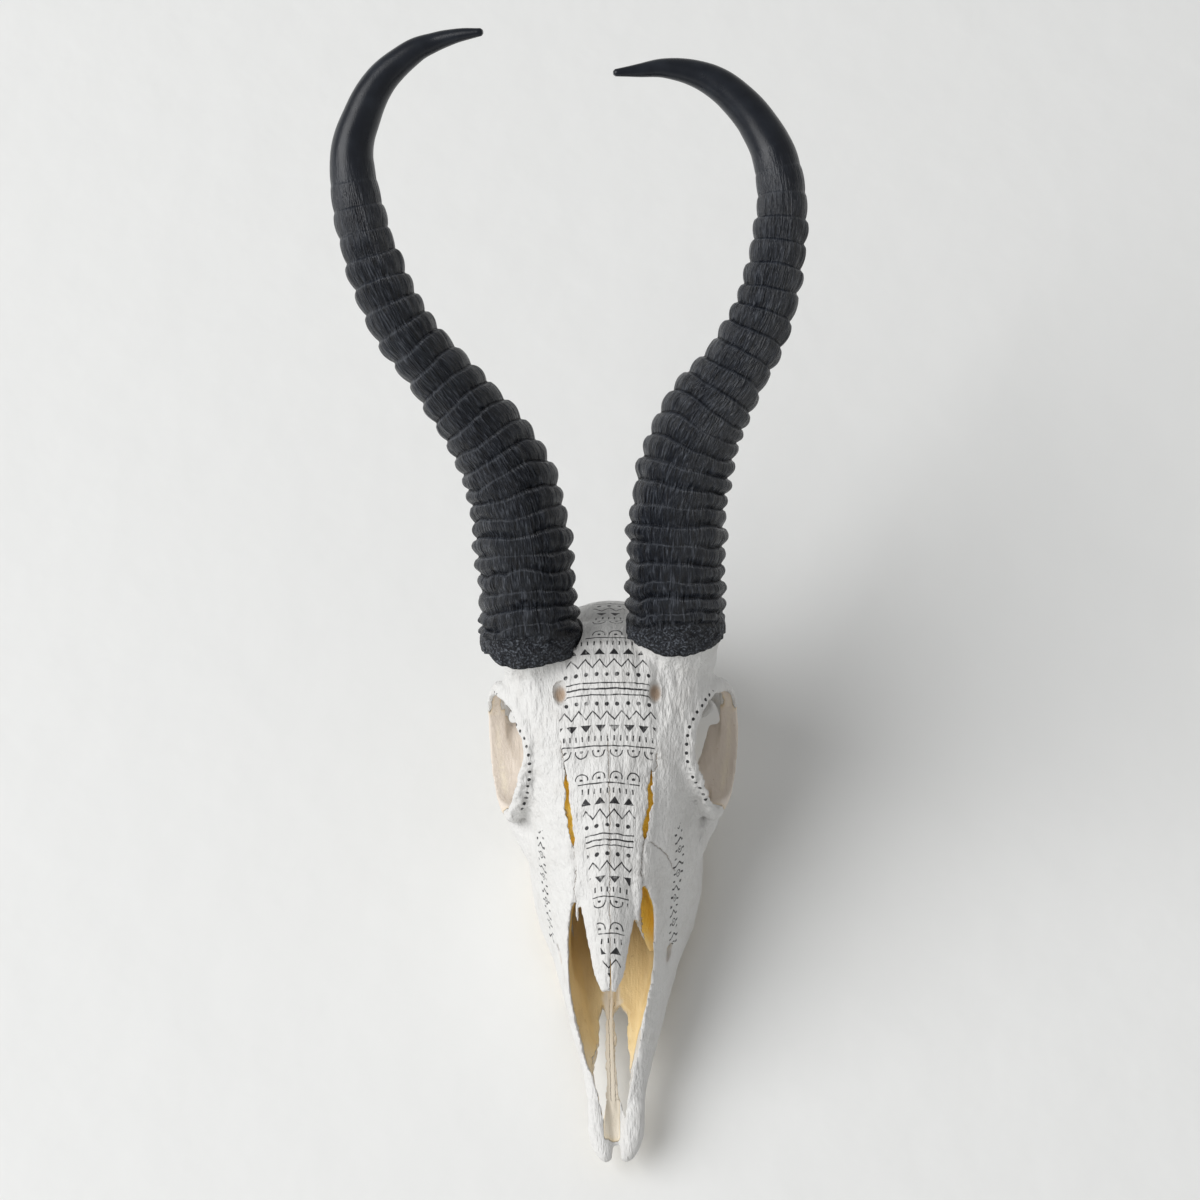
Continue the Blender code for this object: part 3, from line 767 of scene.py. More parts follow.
def horn(name, rows, seed):
    """A horn sheath with its granular collar, its uneven rings and its smooth hooked tip."""
    steps = np.r_[
        np.linspace(0, RINGED_PART + 0.04, HORN_ALONG, endpoint=False),
        np.linspace(RINGED_PART + 0.04, 1, HORN_TIP_STEPS),
    ]
    curve, length = horn_curve(rows, steps)
    points, radius = curve[:, :3], curve[:, 3]
    level, other, along = carried(points)
    share, turn = np.meshgrid(steps, np.arange(HORN_AROUND) * math.tau / HORN_AROUND, indexing="ij")
    cos, sin = np.cos(turn), np.sin(turn)
    outwards = level[:, None] * cos[..., None] + other[:, None] * sin[..., None] * HORN_DEPTH
    wall = np.stack([cos * radius[:, None], sin * radius[:, None], share * length], -1)
    wall = wall.reshape(-1, 3)

    def lumps(size, stretch=1, extra=0):
        return noise(wall * (1, 1, 1 / stretch), size, seed + extra).reshape(share.shape)

    # Each ring lies in a plane that leans back towards the front of the horn, and wanders most
    # near the base.
    facing = along @ np.array(VIEW_BACK)
    lean = facing / (1 - facing**2)
    front = (outwards * np.array(VIEW_BACK)).sum(axis=2) * radius[:, None]
    place = share * length - 0.9 * lean[:, None] * front
    base = np.exp(-share / 0.17)
    place += lumps(12, 1, 1) * (0.8 + 2.6 * base) + lumps(5, 1, 2) * (0.3 + 1.1 * base)
    forward = np.clip(front / radius[:, None], 0, 1)
    collar_top = 3.5 + 7.5 * forward**2 + 2 * lumps(6, 1, 10)
    ringed = np.clip(place / (RINGED_PART * length), 0, None)
    count = HORN_RINGS * ringed**0.92
    ring = np.floor(count).astype(int)
    phase = count - ring
    heights = np.random.default_rng(seed).uniform(0.7, 1.25, 200)
    aside = np.abs(cos) ** 1.4
    ledge = ramp(phase, -0.15, 0.75) * (1 - ramp(phase, 0.84, 1))
    bulge = np.sin(math.pi * phase) ** (0.6 + 1.7 * base)
    knob = (0.55 * bulge + 0.45 * ledge) * heights[np.clip(ring, 0, 199)]

    # On the front near the base two rings run together, between narrow creases.
    merge = (1 - aside) * (1 - ramp(share, 0.2, 0.42))
    pair = (count / 2) % 1
    broad = ramp(pair, -0.02, 0.3) * (1 - ramp(pair, 0.92, 1))
    on_collar = 1 - ramp(share * length - collar_top, -1, 1.4)
    on_ring = (1 - on_collar) * (1 - ramp(share, RINGED_PART - 0.16, RINGED_PART + 0.02))
    size = RING_HEIGHT * (1 - 0.5 * share / RINGED_PART)
    swell = on_ring * size * aside * (knob - 0.72)
    uneven = np.clip(0.75 + 0.6 * lumps(9, 1.5, 13), 0.2, 1.4)
    blend = merge * broad + (1 - merge) * ledge
    swell += on_ring * (1 - aside) * 0.62 * size * uneven * (blend - 0.75)
    swell += on_ring * 0.35 * lumps(7, 1.5, 11) * (0.4 + base)

    # Lengthwise fibres on the rings, coarser and rougher near the base
    fibre = lumps(1.4, 6, 3) * 0.26 + lumps(2.6, 9, 4) * 0.22 * (1 + 1.2 * base)
    swell += fibre * on_ring
    swell += on_collar * (0.4 * lumps(1.2, 1, 5) + 0.6 * lumps(2.6, 1, 6) - 0.1)
    smooth_part = ramp(share, RINGED_PART - 0.1, RINGED_PART)
    swell += smooth_part * (0.3 * lumps(14, 1, 7) * (1 - share) + 0.05 * lumps(4, 1, 12))
    grid = points[:, None] + outwards * (radius[:, None] + swell)[..., None]

    # The foot's edge is uneven, and closes under the sheath against the bone.
    edge = -1.2 + 1.1 * lumps(7, 1, 8)[0] + 0.5 * lumps(2.4, 1, 9)[0]
    first = grid[0] + along[0] * edge[:, None]
    inner = points[0] + outwards[0] * (radius[0] - 2.4) + along[0] * 0.3
    tip = points[-1] + (grid[-1] - points[-1]) * 0.6 + along[-1] * 0.6
    made = skin(name, np.concatenate([[inner, (first + inner) / 2, first], grid[1:], [tip]]))
    made.data.shade_smooth()

    def spread(values):
        return np.concatenate([values[[0, 0]], values, values[[-1]]]).reshape(-1, *values.shape[2:])

    # Where painted shade darkens the creases between the rings: less where two rings run together,
    # and fading out up the horn
    shaded_crease = on_ring * (0.4 + 0.6 * aside) * (1 - merge * (np.round(count) % 2)) * uneven
    shaded_crease *= 1 - 0.8 * ramp(share, 0.3, 0.62)
    store(made, "fibres", spread(wall.reshape(*share.shape, 3) * (1, 1, 1 / 8)))
    store(made, "ring", spread(count))
    store(made, "shaded_crease", spread(shaded_crease))
    store(made, "ringed", spread(on_ring * (0.75 + 0.5 * base)))
    store(made, "collar", spread(on_collar))
    return made


# The teeth

def squarish(turn):
    return (abs(math.cos(turn)) ** 4 + abs(math.sin(turn)) ** 4) ** -0.25


def socket(x, y, width, length, side):
    """The space that a tooth stands in: a cutter for the jaw."""
    rings = []
    for z in (-2, TOOTH_ROOT_Z + GAP):
        ring = []
        for i in range(24):
            turn = math.tau * (i + 0.5) / 24
            px = (width / 2 + GAP) * squarish(turn) * math.cos(turn)
            py = (length / 2 + GAP) * squarish(turn) * math.sin(turn)
            ring.append((side * x + px, y + py, z))
        rings.append(ring)
    return skin("socket", rings)


def tooth(name, x, y, width, length, side, molar, seed):
    """A ridged cheek tooth with a worn face, which it stands on, and a crescent in each lobe."""
    around, lobes = 120, 2 if molar else 1
    turns = np.arange(around) * math.tau / around
    outline = np.array([(squarish(t) * math.cos(t), squarish(t) * math.sin(t)) for t in turns])
    px, py = outline[:, 0] * width / 2, outline[:, 1] * length / 2
    # The outer wall has ribs at its ends and between its lobes; the inner wall is rounded.
    wave = np.cos(math.tau * lobes * (py / length + 0.5))
    outer = np.clip(outline[:, 0], 0, 1)
    inner = np.clip(-outline[:, 0], 0, 1)
    px = px - 0.45 * (1 - wave) * outer * 0.7 + 0.5 * (1 + wave) * inner
    rings = []
    for z in np.r_[np.linspace(0, 1.2, 4)[1:], np.linspace(2, TOOTH_ROOT_Z, 26)]:
        scale = 0.9 + 0.1 * min(z / 1.2, 1) - 0.1 * max(z - 4, 0) / (TOOTH_ROOT_Z - 4)
        rings.append((px * scale, py * scale, np.full(around, z)))
    crown = []
    for share in np.linspace(0.04, 1, 14):
        cx, cy = px * 0.9 * share, py * 0.9 * share
        lobe_y = (cy / length + 0.5) * lobes
        middle = (lobe_y - np.floor(lobe_y) - 0.5) * length / lobes
        bow = cx + 0.12 * width - 0.1 * middle**2
        ends = ramp(-np.abs(middle), -0.36 * length / lobes, -0.2 * length / lobes)
        cleft = np.exp(-(bow / 0.55) ** 2) * ends
        worn = 0.35 * ramp(-np.abs(share - 0.6), -0.35, -0.15) * (1 - cleft)
        crown.append((cx, cy, 1.6 * cleft + worn * (1 - np.exp(-((bow - 1.1) / 0.5) ** 2))))
    stack = crown + rings
    grid = np.array([np.stack([side * (x + a), y + b, c], -1) for a, b, c in stack])
    flat = grid.reshape(-1, 3)
    rough = noise(flat * (1, 1, 0.3), 1.3, seed).reshape(grid.shape[:2])
    spread = grid - np.array([side * x, y, 0])
    spread[..., 2] = 0
    spread /= np.linalg.norm(spread, axis=2)[..., None] + 1e-9
    grid += spread * (0.09 * rough * (np.arange(len(stack)) > len(crown))[:, None])[..., None]
    made = skin(name, grid[:, :: side])
    made.data.shade_smooth()
    return made


# Materials

class Wire:
    """A number in a material's nodes, joined to others by Math nodes."""

    def __init__(self, tree, socket):
        self.tree, self.socket = tree, socket

    def math(self, operation, *others, clamp=False):
        node = self.tree.nodes.new("ShaderNodeMath")
        node.operation = operation
        node.use_clamp = clamp
        for slot, value in zip(node.inputs, (self, *others)):
            feed(self.tree, slot, value)
        return Wire(self.tree, node.outputs[0])

    __add__ = partialmethod(math, "ADD")
    __sub__ = partialmethod(math, "SUBTRACT")
    __mul__ = partialmethod(math, "MULTIPLY")
    __truediv__ = partialmethod(math, "DIVIDE")
    __abs__ = partialmethod(math, "ABSOLUTE")
    __or__ = partialmethod(math, "MAXIMUM")
    __and__ = partialmethod(math, "MULTIPLY")

    def within(self, most, soft=0.12):
        """1 where the size of this number is below the most, with a soft edge."""
        return (abs(self) * -1 + most).math("MULTIPLY_ADD", 1 / soft, 0.5, clamp=True)

    def between(self, low, high, soft=0.12):
        return (self - (low + high) / 2).within((high - low) / 2, soft)

    def over(self, limit, soft=0.12):
        """1 where this number is above the limit, with a soft edge."""
        return (self - limit).math("MULTIPLY_ADD", 1 / soft, 0.5, clamp=True)

    def wrapped(self, step):
        """The distance to the nearest multiple of the step, with its sign."""
        return ((self / step + 0.5).math("FRACT") - 0.5) * step

    def far(self, other):
        """The length of this and the other as two sides of a right angle."""
        return (self * self + other * other).math("SQRT")


def feed(tree, slot, value):
    if isinstance(value, Wire):
        tree.links.new(value.socket, slot)
    else:
        slot.default_value = value


class Finish:
    """A material that is built up from masks and colours."""

    def __init__(self, name, colour, roughness):
        self.material = bpy.data.materials.new(name)
        self.material.use_nodes = True
        self.tree = self.material.node_tree
        self.shader = self.tree.nodes["Principled BSDF"]
        self.shader.inputs["Metallic"].default_value = 0
        self.shader.inputs["Base Color"].default_value = (*colour, 1)
        self.shader.inputs["Roughness"].default_value = roughness
        self.colour = (*colour, 1)
        self.height = None

    def kept(self, name):
        """The sockets of what store() kept under this name."""
        node = self.tree.nodes.new("ShaderNodeAttribute")
        node.attribute_name = name
        return node.outputs

    def number(self, name):
        """The number that store() kept under this name."""
        return Wire(self.tree, self.kept(name)["Fac"])

    def lumps(self, vector, scale, detail):
        """Noise over the places that the socket gives, from about 0.3 to 0.7."""
        node = self.tree.nodes.new("ShaderNodeTexNoise")
        node.inputs["Scale"].default_value = scale
        node.inputs["Detail"].default_value = detail
        self.tree.links.new(vector, node.inputs["Vector"])
        return Wire(self.tree, node.outputs["Fac"])

    def clouds(self, size, stretch=(1, 1, 1), detail=2):
        """Noise over the object, stretched, with lumps of this size in millimetres."""
        place = self.tree.nodes.new("ShaderNodeTexCoord")
        mapping = self.tree.nodes.new("ShaderNodeMapping")
        mapping.inputs["Scale"].default_value = stretch
        self.tree.links.new(place.outputs["Object"], mapping.inputs["Vector"])
        return self.lumps(mapping.outputs["Vector"], 1000 / size, detail)

    def grain(self, name, size, detail=2):
        """Noise with lumps of this size over the x, y, z that store() kept under this name."""
        return self.lumps(self.kept(name)["Vector"], 1 / size, detail)

    def paint(self, colour, mask):
        """Lays a colour over what is there, as strongly as the mask says."""
        mix = self.tree.nodes.new("ShaderNodeMix")
        mix.data_type = "RGBA"
        mix.clamp_factor = True
        feed(self.tree, mix.inputs["Factor"], mask)
        before, after = mix.inputs[6], mix.inputs[7]
        if isinstance(self.colour, tuple):
            before.default_value = self.colour
        else:
            self.tree.links.new(self.colour, before)
        after.default_value = (*colour, 1)
        self.colour = mix.outputs[2]

    def shine(self, roughness):
        """Makes the roughness vary."""
        self.tree.links.new(roughness.socket, self.shader.inputs["Roughness"])

    def relief(self, height, depth):
        """Adds a bump of this depth in millimetres where the height goes from 0 to 1."""
        layer = height * depth
        self.height = layer if self.height is None else self.height + layer

    def done(self):
        if not isinstance(self.colour, tuple):
            self.tree.links.new(self.colour, self.shader.inputs["Base Color"])
        if self.height is not None:
            bump = self.tree.nodes.new("ShaderNodeBump")
            bump.inputs["Distance"].default_value = 0.001
            self.tree.links.new(self.height.socket, bump.inputs["Height"])
            self.tree.links.new(bump.outputs["Normal"], self.shader.inputs["Normal"])
        return self.material


def ornament(u, v):
    """Bands of plain geometric marks across the brow and nose: u across and v along, in mm."""
    cycle = v.wrapped(52)
    ink = cycle.within(0.3)
    for sign in (1, -1):
        outer = cycle * sign
        ink = ink | (outer - 2).within(0.22)
        ink = ink | u.wrapped(3.6).far(outer - 5).within(0.72)
        row = outer - 9
        ink = ink | (row - abs(u.wrapped(5)) * 1.2 + 1.5).within(0.36)
        row = outer - 13.6
        ink = ink | ((abs((u + 2.5).wrapped(5)) * 1.3 + row).within(1.25) & row.within(1.2))
        row = outer - 17
        ink = ink | (row.within(0.9) & u.wrapped(2.2).within(0.25))
        ink = ink | (outer - 19.6).within(0.22)
        row = outer - 21.2
        arch = (u + 3).wrapped(6).far(row)
        ink = ink | ((arch.between(1.9, 2.35) | arch.within(0.55)) & row.over(-0.3))
    return ink


def bone_material():
    look = Finish("painted_bone", (0.7, 0.695, 0.68), 0.5)
    look.paint((0.6, 0.585, 0.56), (look.clouds(9, detail=3) - 0.48) * 2)

    # Bare bone: the nose's walls, the slits, the orbits' floors, the palate and the underside
    bare = look.number("bare")
    ragged = (look.clouds(2.2, detail=4) - 0.5) * 0.8
    edge = ((bare + ragged) - 0.5).math("MULTIPLY_ADD", 6, 0.5, clamp=True)
    look.paint((0.84, 0.65, 0.34), edge)
    darker = (look.clouds(7, (1, 0.4, 1), 3) - 0.48) * 3
    look.paint((0.66, 0.48, 0.23), darker.math("MULTIPLY", edge, clamp=True))
    # The gold is partly a painted glow of light through the nose's thin upper walls and partly the
    # bare bone of the slits; the orbits' beige and the pale cream are bare bone.
    for name, tint in (
        ("gold_and_glow", (0.98, 0.63, 0.07)),
        ("orbit", (0.73, 0.65, 0.57)),
        ("pale", (0.82, 0.74, 0.61)),
    ):
        look.paint(tint, look.number(name) & edge)
    spots = (look.clouds(1.4, detail=3) - 0.67) * 6
    look.paint((0.36, 0.2, 0.08), spots.math("MULTIPLY", edge, clamp=True) * 0.6)
    # Painted shade: dark brown inside the foramina and the pits of the brow
    look.paint((0.34, 0.2, 0.09), look.number("stain_and_shade"))

    # Hairline cracks along the seams
    shake = (look.clouds(1.3, detail=3) - 0.5) * 1.6
    seam = (look.number("seam") + shake).within(0.12, 0.2)
    look.paint((0.3, 0.24, 0.18), seam & look.number("seam_room"))

    # Ink
    drift = look.clouds(5) - 0.5
    u, v = look.number("ink_u") + drift, look.number("ink_v") + drift * 0.7
    painted = edge * -1 + 1
    ink = ornament(u, v) & look.number("ink_room").over(0.5)
    rim = look.number("rim_v").wrapped(3.1).far(look.number("rim_u") + drift * 0.5).within(0.62)
    ink = ink | (rim & look.number("rim_room").over(0.5))
    cheek_u, cheek_v = look.number("cheek_u") + drift, look.number("cheek_v") + drift
    ticks = cheek_v.wrapped(3).within(0.36) & (abs(cheek_u) - 2.5).within(0.75)
    studs = cheek_v.wrapped(9).far(cheek_u)
    rows = (cheek_v + 4.5).wrapped(9)
    bows = (rows - abs(cheek_u) * 0.8).within(0.35) & cheek_u.within(1.7)
    marks = ticks | bows | studs.between(0.95, 1.4) | studs.within(0.4)
    ink = ink | (marks & look.number("cheek_room").over(0.5))
    worn = look.clouds(2.6, detail=3).over(0.33, 0.25)
    look.paint((0.012, 0.012, 0.014), ink & painted & worn)

    # The brush's strokes, weaker on bare bone
    brushed = edge * -0.7 + 1
    look.relief(look.clouds(0.9, (1, 0.2, 0.6), 3) & brushed, 0.8)
    look.relief(look.clouds(3, (1, 0.4, 0.7), 4) & brushed, 1.1)
    look.relief(look.clouds(0.45, detail=2), 0.07)
    look.relief(seam & look.number("seam_room"), -0.3)
    return look.done()


def horn_material():
    look = Finish("black_horn", (0.004, 0.006, 0.011), 0.5)
    look.shader.inputs["Specular IOR Level"].default_value = 0.38
    ringed, collar = look.number("ringed"), look.number("collar")
    fibres = look.grain("fibres", 0.55, 3)
    coarse = look.grain("fibres", 1.3, 2)
    look.paint((0.014, 0.018, 0.026), (look.clouds(6, detail=4) - 0.42) * 2)
    # Painted highlights on the raised fibres, and painted shade in the grooves between them
    look.paint((0.075, 0.083, 0.1), (fibres - 0.52) * 5 & ringed)
    look.paint((0.001, 0.001, 0.002), (fibres * -1 + 0.46) * 8 & ringed)
    phase = look.number("ring").math("FRACT")
    # Painted shade in the creases between the rings
    shaded_crease = abs(phase - 0.5).over(0.475, 0.03) & look.number("shaded_crease")
    # Painted highlight along the lip of each ring
    lip = phase.between(0.86, 0.94, 0.05) & ringed
    look.paint((0.05, 0.056, 0.068), lip * (look.clouds(3, detail=2) * 2 - 0.4))
    look.paint((0.002, 0.002, 0.003), shaded_crease)
    grains = look.clouds(0.8, detail=4)
    # Painted highlights on the collar's raised grains, and painted shade in the pits between them
    look.paint((0.14, 0.155, 0.18), (grains - 0.5) * 5 & collar)
    look.paint((0.003, 0.003, 0.005), (grains * -1 + 0.46) * 9 & collar)
    look.relief(fibres & ringed, 2.2)
    look.relief(coarse & ringed, 1.6)
    look.relief(lip, 0.15)
    look.relief(shaded_crease, -0.4)
    look.relief(grains & collar, 1.8)
    look.relief(look.clouds(0.5, detail=3), 0.05)
    look.shine(ringed * 0.02 + collar * 0.2 + 0.31 + (look.clouds(4, detail=3) - 0.5) * 0.2)
    return look.done()


def tooth_material():
    look = Finish("tooth_enamel", (0.72, 0.63, 0.47), 0.35)
    look.paint((0.5, 0.37, 0.2), (look.clouds(2.6, (1, 1, 0.35), 4) - 0.45) * 2.2)
    look.paint((0.16, 0.09, 0.04), look.number("stain_and_shade"))
    look.relief(look.clouds(0.8, (1, 1, 0.25), 3), 0.12)
    return look.done()


# What the materials read

def settled(tree, path):
    """The path as a smooth curve on the surface that the tree holds."""
    return np.array([tree.find_nearest(Vector(point))[0] for point in spline(path, 8)])


def face_profile():
    """Places back along the crown's middle line, and the length along it from the nasals' tip."""
    brow = [(130, 94), (142, 99.5), (152, 103), (163, 103), (175, 97), (186, 84)]
    fine = spline([(y, z) for y, _, z, _ in NASALS] + brow, 8)
    return fine[:, 0], np.r_[0, np.cumsum(np.linalg.norm(np.diff(fine, axis=0), axis=1))]


def dress_bone(bone, trees):
    """What is bare, where the ink goes, and where the seams run."""
    points, outwards = each_point(bone), each_point(bone, "normal")
    x, y, z = points.T
    upwards = outwards[:, 2]
    side = np.abs(x)
    own = search_tree([bone], (1,))
    depth = depth_under(trees["skin"], points)
    nose = reach(trees["nose"], points, HOLLOW_REACH)[0]
    orbit = reach(trees["orbit"], points, HOLLOW_REACH)[0]

    # The nose: its walls and floor but not the bars beside it, its inner wall, and the slits
    in_nose = (1 - ramp(nose, 1, 2.2)) * ramp(depth, 0.7, 1.6) * ramp(y, 20, 26)
    bars = (1 - ramp(y, 44, 56)) * (1 - ramp(upwards, 0.2, 0.6))
    in_nose *= 1 - 0.9 * bars
    rim_z = np.interp(y, [row[0] for row in NOSE_OPENING], [row[3] for row in NOSE_OPENING])
    in_nose *= np.where((y < 66) & (x > 0), ramp(rim_z - z, 0.5, 6), 1)
    inner_wall = (x > 5) & (x < 17.5) & (y > 68) & (y < 95) & (depth > 2.2) & (z > 26)
    in_nose = np.maximum(in_nose, inner_wall)
    under_nasals = ramp(-upwards, 0.1, 0.4) * (nose < 2.9) * (z > 46) * (y < 118)
    in_slit = ramp(depth, 1, 1.7) * (side < 17) * (side > 10) * (y > 95) * (y < 123) * (z > 68)

    # The orbits' floors and walls, the vomer, the deep inside, and the underside
    shelf = ramp(side, 28, 29.5) * (1 - ramp(z, 57, 62)) * ramp(upwards, -0.3, 0)
    shelf = shelf * ramp(y, 119, 123) * ((1 - ramp(y, 157, 160)) * ramp(z, 40, 44))
    in_orbit = ramp(depth, 1, 2) * (1 - ramp(orbit, 1, 2)) * (z < 78) * ramp(y, 117, 121)
    low_orbit = np.maximum(shelf, in_orbit)
    vomer = (1 - ramp(np.abs(x + 1.5), 2.4, 3.2)) * (1 - ramp(z, 21, 24)) * ramp(y, 8, 12)
    vomer *= (y < 66) * ramp(upwards, -0.2, 0.2)
    deep = ramp(depth, 2.2, 3.5) * (y > 120) * (z < 86)
    under = ramp(-upwards, 0.25, 0.6) * (1 - ramp(z, 36, 44))
    bare = np.max([in_nose, under_nasals, in_slit, low_orbit, vomer, under, deep], axis=0)
    front = in_nose * (1 - ramp(y, 28, 46))
    pale = np.max([vomer, (under + deep) * (1 - in_nose), front], axis=0)
    store(bone, "bare", bare)
    # Painted glow: the nose's upper walls get a bright gold as if light shone through the thin
    # bone, in full on the left side (+X) and weaker on the right. The slits beside the nasals share
    # this gold as bare bone.
    gold_and_glow = in_nose * ramp(z, 30, 46) * ramp(y, 66, 80) * np.where(x > 0, 1, 0.45)
    store(bone, "gold_and_glow", np.maximum(gold_and_glow, in_slit))
    store(bone, "orbit", low_orbit * (1 - in_slit))
    store(bone, "pale", pale)

    # The foramina and the pits of the brow, darkened inside with painted shade
    folded = np.stack([side, y, z], -1)
    foramen = np.linalg.norm((folded - (20.5, 71, 34)) * (1, 0.8, 1), axis=1)
    pit = np.linalg.norm((folded - (16.5, 144, 94)) * (1, 0.7, 0.6), axis=1)
    in_pit = (1 - ramp(pit, 1.2, 2.8)) * ramp(depth, 0.3, 1.8)
    store(bone, "stain_and_shade", np.maximum(0.8 * (1 - ramp(foramen, 1.6, 3.2)), 0.75 * in_pit))

    # The ornament: its place across and along the face, and its half width
    v = np.interp(y, *face_profile())
    store(bone, "ink_u", x - np.interp(y, *NASAL_DRIFT) * (y < 124))
    store(bone, "ink_v", v)
    half = np.interp(v, *INK_WIDTH)
    above = z > np.interp(y, [50, 118, 186], [48, 76, 60])
    on_top = (upwards > 0.15) & (in_pit < 0.05) & above
    store(bone, "ink_room", np.where(on_top, np.clip((half - side) * 0.8 + 0.5, 0, 1.2), 0))

    # The rows of dots and marks
    for name, paths, width in (
        ("rim", (LEFT_BROW_EDGE, RIGHT_BROW_EDGE), 2),
        ("cheek", (LEFT_CHEEK, RIGHT_CHEEK), 3.6),
    ):
        found = [polyline_reach(points, settled(own, path), outwards) for path in paths]
        gap, along, aside = (np.where(x > 0, left, right) for left, right in zip(*found))
        ends = np.where(x > 0, found[0][1].max(), found[1][1].max())
        store(bone, name + "_u", aside)
        store(bone, name + "_v", along)
        store(bone, name + "_room", (gap < width) & (along > 0.2) & (along < ends - 0.2))

    # The seams, and the lines beside the vomer's rod
    gap, _, seam = polyline_reach(points, settled(own, FOLD), outwards)
    for path in SEAMS:
        near, _, aside = polyline_reach(points, settled(own, path), outwards)
        seam = np.where(near < gap, aside, seam)
        gap = np.minimum(near, gap)
    rod = np.abs(x - np.interp(y, [16, 31, 42, 52, 62], [-0.8, -1.2, -1.6, -1.8, -1.4])) - 0.8
    on_rod = (z < 21) & (y > 24) & (y < 62) & (upwards > -0.2)
    seam = np.where(on_rod, 1.7 * rod, seam)
    gap = np.where(on_rod, np.abs(rod), gap)
    store(bone, "seam", seam)
    store(bone, "seam_room", 0.75 * (1 - ramp(gap, 1.2, 2)))


def raise_details(bone, trees):
    """Seams, ridges, hollows, lumps and the paint's uneven surface, as moves along the normals."""
    points, outwards = each_point(bone), each_point(bone, "normal")
    x, y, z = points.T
    side = np.abs(x)
    own = search_tree([bone], (1,))
    amount = 0.25 * noise(points, 7, 1) + 0.12 * noise(points, 2.4, 2)

    # Bony fibres run back over the brow and up the cheeks.
    brow = ramp(y, 118, 134) * ramp(z, 70, 84) * ramp(side, 7, 13)
    strands = 0.42 * noise(points * (1, 0.22, 0.5), 2.2, 3)
    amount += (strands + 0.32 * noise(points * (1, 0.3, 0.5), 1.2, 4)) * brow
    face = (1 - ramp(y, 118, 134)) * ramp(z, 22, 30)
    strands = 0.3 * noise(points * (1, 0.25, 0.4), 2.6, 5)
    amount += (strands + 0.16 * noise(points * (1, 0.3, 0.5), 1.1, 6)) * face

    # Ragged bone around the orbits' front edges
    for path in (LEFT_BROW_EDGE, RIGHT_BROW_EDGE):
        gap = polyline_reach(points, settled(own, path))[0]
        rough = np.exp(-((gap / 5) ** 2)) * (1 - 0.6 * ramp(z, 74, 84))
        amount += rough * (0.8 * noise(points, 2.3, 7) + 0.5 * noise(points, 1.2, 8))

    # Hollows before the orbits and beside the pits of the brow
    for centre, width, depth in (
        ((28.5, 113, 62), (5, 7, 10), 2.8),
        ((-30.5, 113, 54), (5, 7, 8), 1),
        ((-20, 145, 97), (3.6, 9, 9), 1.1),
        ((19.5, 143, 97), (3.2, 7, 9), 0.7),
        ((20.5, 70, 34), (4, 6, 6), 1),
        ((-20.5, 70, 34), (4, 6, 6), 0.7),
    ):
        amount -= depth * np.exp(-(((points - centre) / width) ** 2).sum(axis=1))

    # Seams sink between low lips, and small knots of bone stand beside them.
    wobble = 0.8 * noise(points, 2.6, 9)
    for path in SEAMS:
        gap, _, aside = polyline_reach(points, settled(own, path), outwards)
        near = np.exp(-((gap / 3.2) ** 2))
        strength = 0.3 if path is SEAMS[-1] else 1.2
        amount += strength * near * (0.15 + 0.5 * np.clip(noise(points, 1.7, 10), 0, 1))
        amount -= strength * 0.6 * np.exp(-(((aside + wobble * 0.5) / 0.55) ** 2)) * near
    amount -= 0.45 * np.exp(-((polyline_reach(points, settled(own, FOLD))[0] / 0.5) ** 2))
    gap, _, aside = polyline_reach(points, settled(own, PLATE_EDGE), outwards)
    inner_side = np.sign(np.median(aside[(gap < 3) & (x < 14) & (y > 90)]))
    step = ramp(aside * inner_side + 0.4 * wobble, -0.5, 0.5)
    amount += (0.55 * step - 0.1) * np.exp(-((gap / 4.5) ** 2)) * (x > 0)

    # Thin edges keep their place.
    depth = depth_under(trees["skin"], points)
    amount *= 1 - 0.6 * ramp(depth, 1.5, 3)
    bone.data.vertices.foreach_set("co", (points + outwards * amount[:, None]).ravel())
    bone.data.update()


def wear(obj, material):
    obj.data.materials.clear()
    obj.data.materials.append(material)


def hand_over(obj, node, material):
    """Moves a finished piece to the frame, in metres, in the place of its node."""
    wear(obj, material)
    obj.data.transform(Matrix.Scale(0.001, 4) @ Matrix.Translation(TO_FRAME))
    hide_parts(node)
    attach(obj, "root")


# Putting the skull together

bone, bone_trees = skull()
dress_bone(bone, bone_trees)
bone.data.shade_smooth()
hand_over(bone, "skull", bone_material())

black = horn_material()
for word, horn_rows, seed in (("left", LEFT_HORN, 11), ("right", RIGHT_HORN, 23)):
    sheath = horn(word + "_horn_sheath", horn_rows, seed)
    hand_over(sheath, word + "_horn", black)

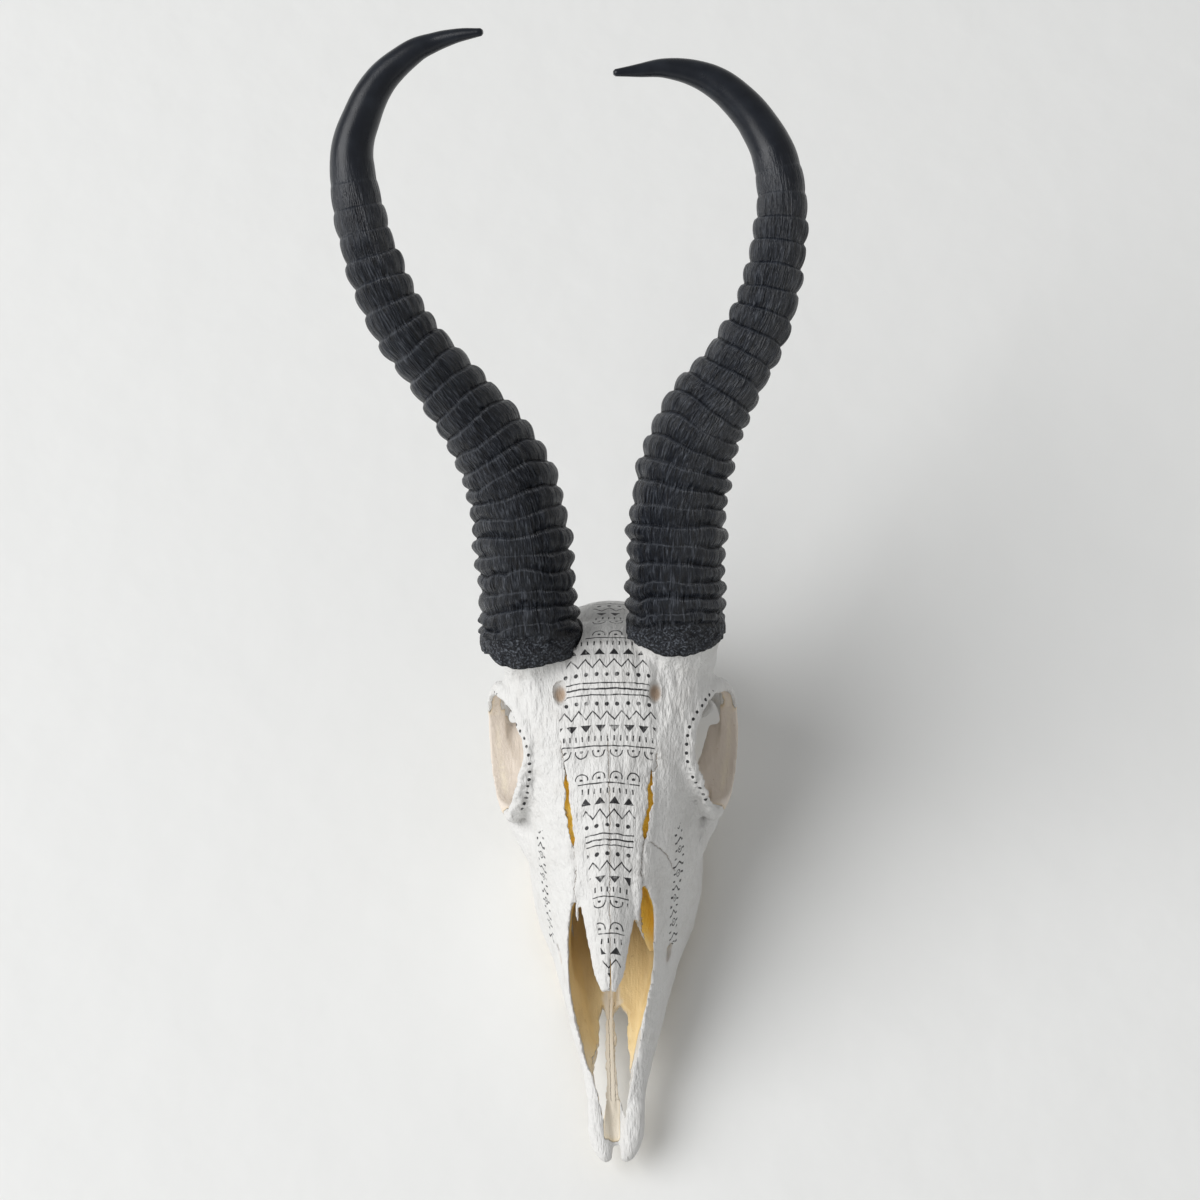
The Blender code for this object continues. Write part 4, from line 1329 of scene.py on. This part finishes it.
enamel = tooth_material()
for number, (kind, y, x, width, length) in enumerate(TEETH):
    for word, side in (("left", 1), ("right", -1)):
        molar = kind.startswith("molar")
        node = f"{word}_{kind}"
        made = tooth(node + "_tooth", x, y, width, length, side, molar, 40 + number)
        store(made, "stain_and_shade", 0.7 * ramp(each_point(made)[:, 2], 7, 12))
        hand_over(made, node, enamel)


# Floor, light and camera

def floor():
    corners = [(x * FLOOR_HALF, y * FLOOR_HALF, 0) for x, y in ((-1, -1), (1, -1), (1, 1), (-1, 1))]
    mesh = bpy.data.meshes.new("floor")
    mesh.from_pydata(corners, [], [(0, 1, 2, 3)])
    obj = add("floor", mesh)
    obj.location.z = -FLOOR_DROP
    look = Finish("floor_plaster", (0.83, 0.835, 0.825), 0.8)
    look.relief(look.clouds(30, detail=3), 0.7)
    wear(obj, look.done())


def daylight():
    """One large soft window, and the room's even light."""
    data = bpy.data.lights.new("window", "AREA")
    data.shape = "DISK"
    data.size = WINDOW_SIZE
    data.energy = WINDOW_POWER
    obj = add("window", data)
    obj.location = WINDOW_PLACE
    obj.rotation_mode = "QUATERNION"
    obj.rotation_quaternion = (WINDOW_AIM - WINDOW_PLACE).to_track_quat("-Z", "Y")
    world = bpy.data.worlds.new("room")
    world.use_nodes = True
    background = world.node_tree.nodes["Background"]
    background.inputs["Color"].default_value = (1, 1, 1, 1)
    background.inputs["Strength"].default_value = ROOM_LIGHT
    bpy.context.scene.world = world


def camera():
    """The photograph's camera."""
    across_view = math.cos(VIEW_SPIN) * VIEW_ACROSS_0 + math.sin(VIEW_SPIN) * VIEW_UP_0
    up_view = -math.sin(VIEW_SPIN) * VIEW_ACROSS_0 + math.cos(VIEW_SPIN) * VIEW_UP_0
    aim = VIEW_AIM_ACROSS * VIEW_ACROSS_0 + VIEW_AIM_UP * VIEW_UP_0
    data = bpy.data.cameras.new("camera")
    data.lens = LENS
    data.sensor_width = 36
    data.clip_start, data.clip_end = 0.05, 20
    obj = add("camera", data)
    turn = Matrix((across_view, up_view, VIEW_BACK)).transposed().to_4x4()
    place = (aim + VIEW_DISTANCE * VIEW_BACK + TO_FRAME) * 0.001
    obj.matrix_world = Matrix.Translation(place) @ turn
    bpy.context.scene.camera = obj


floor()
daylight()
bpy.context.scene.view_settings.view_transform = "Standard"
camera()
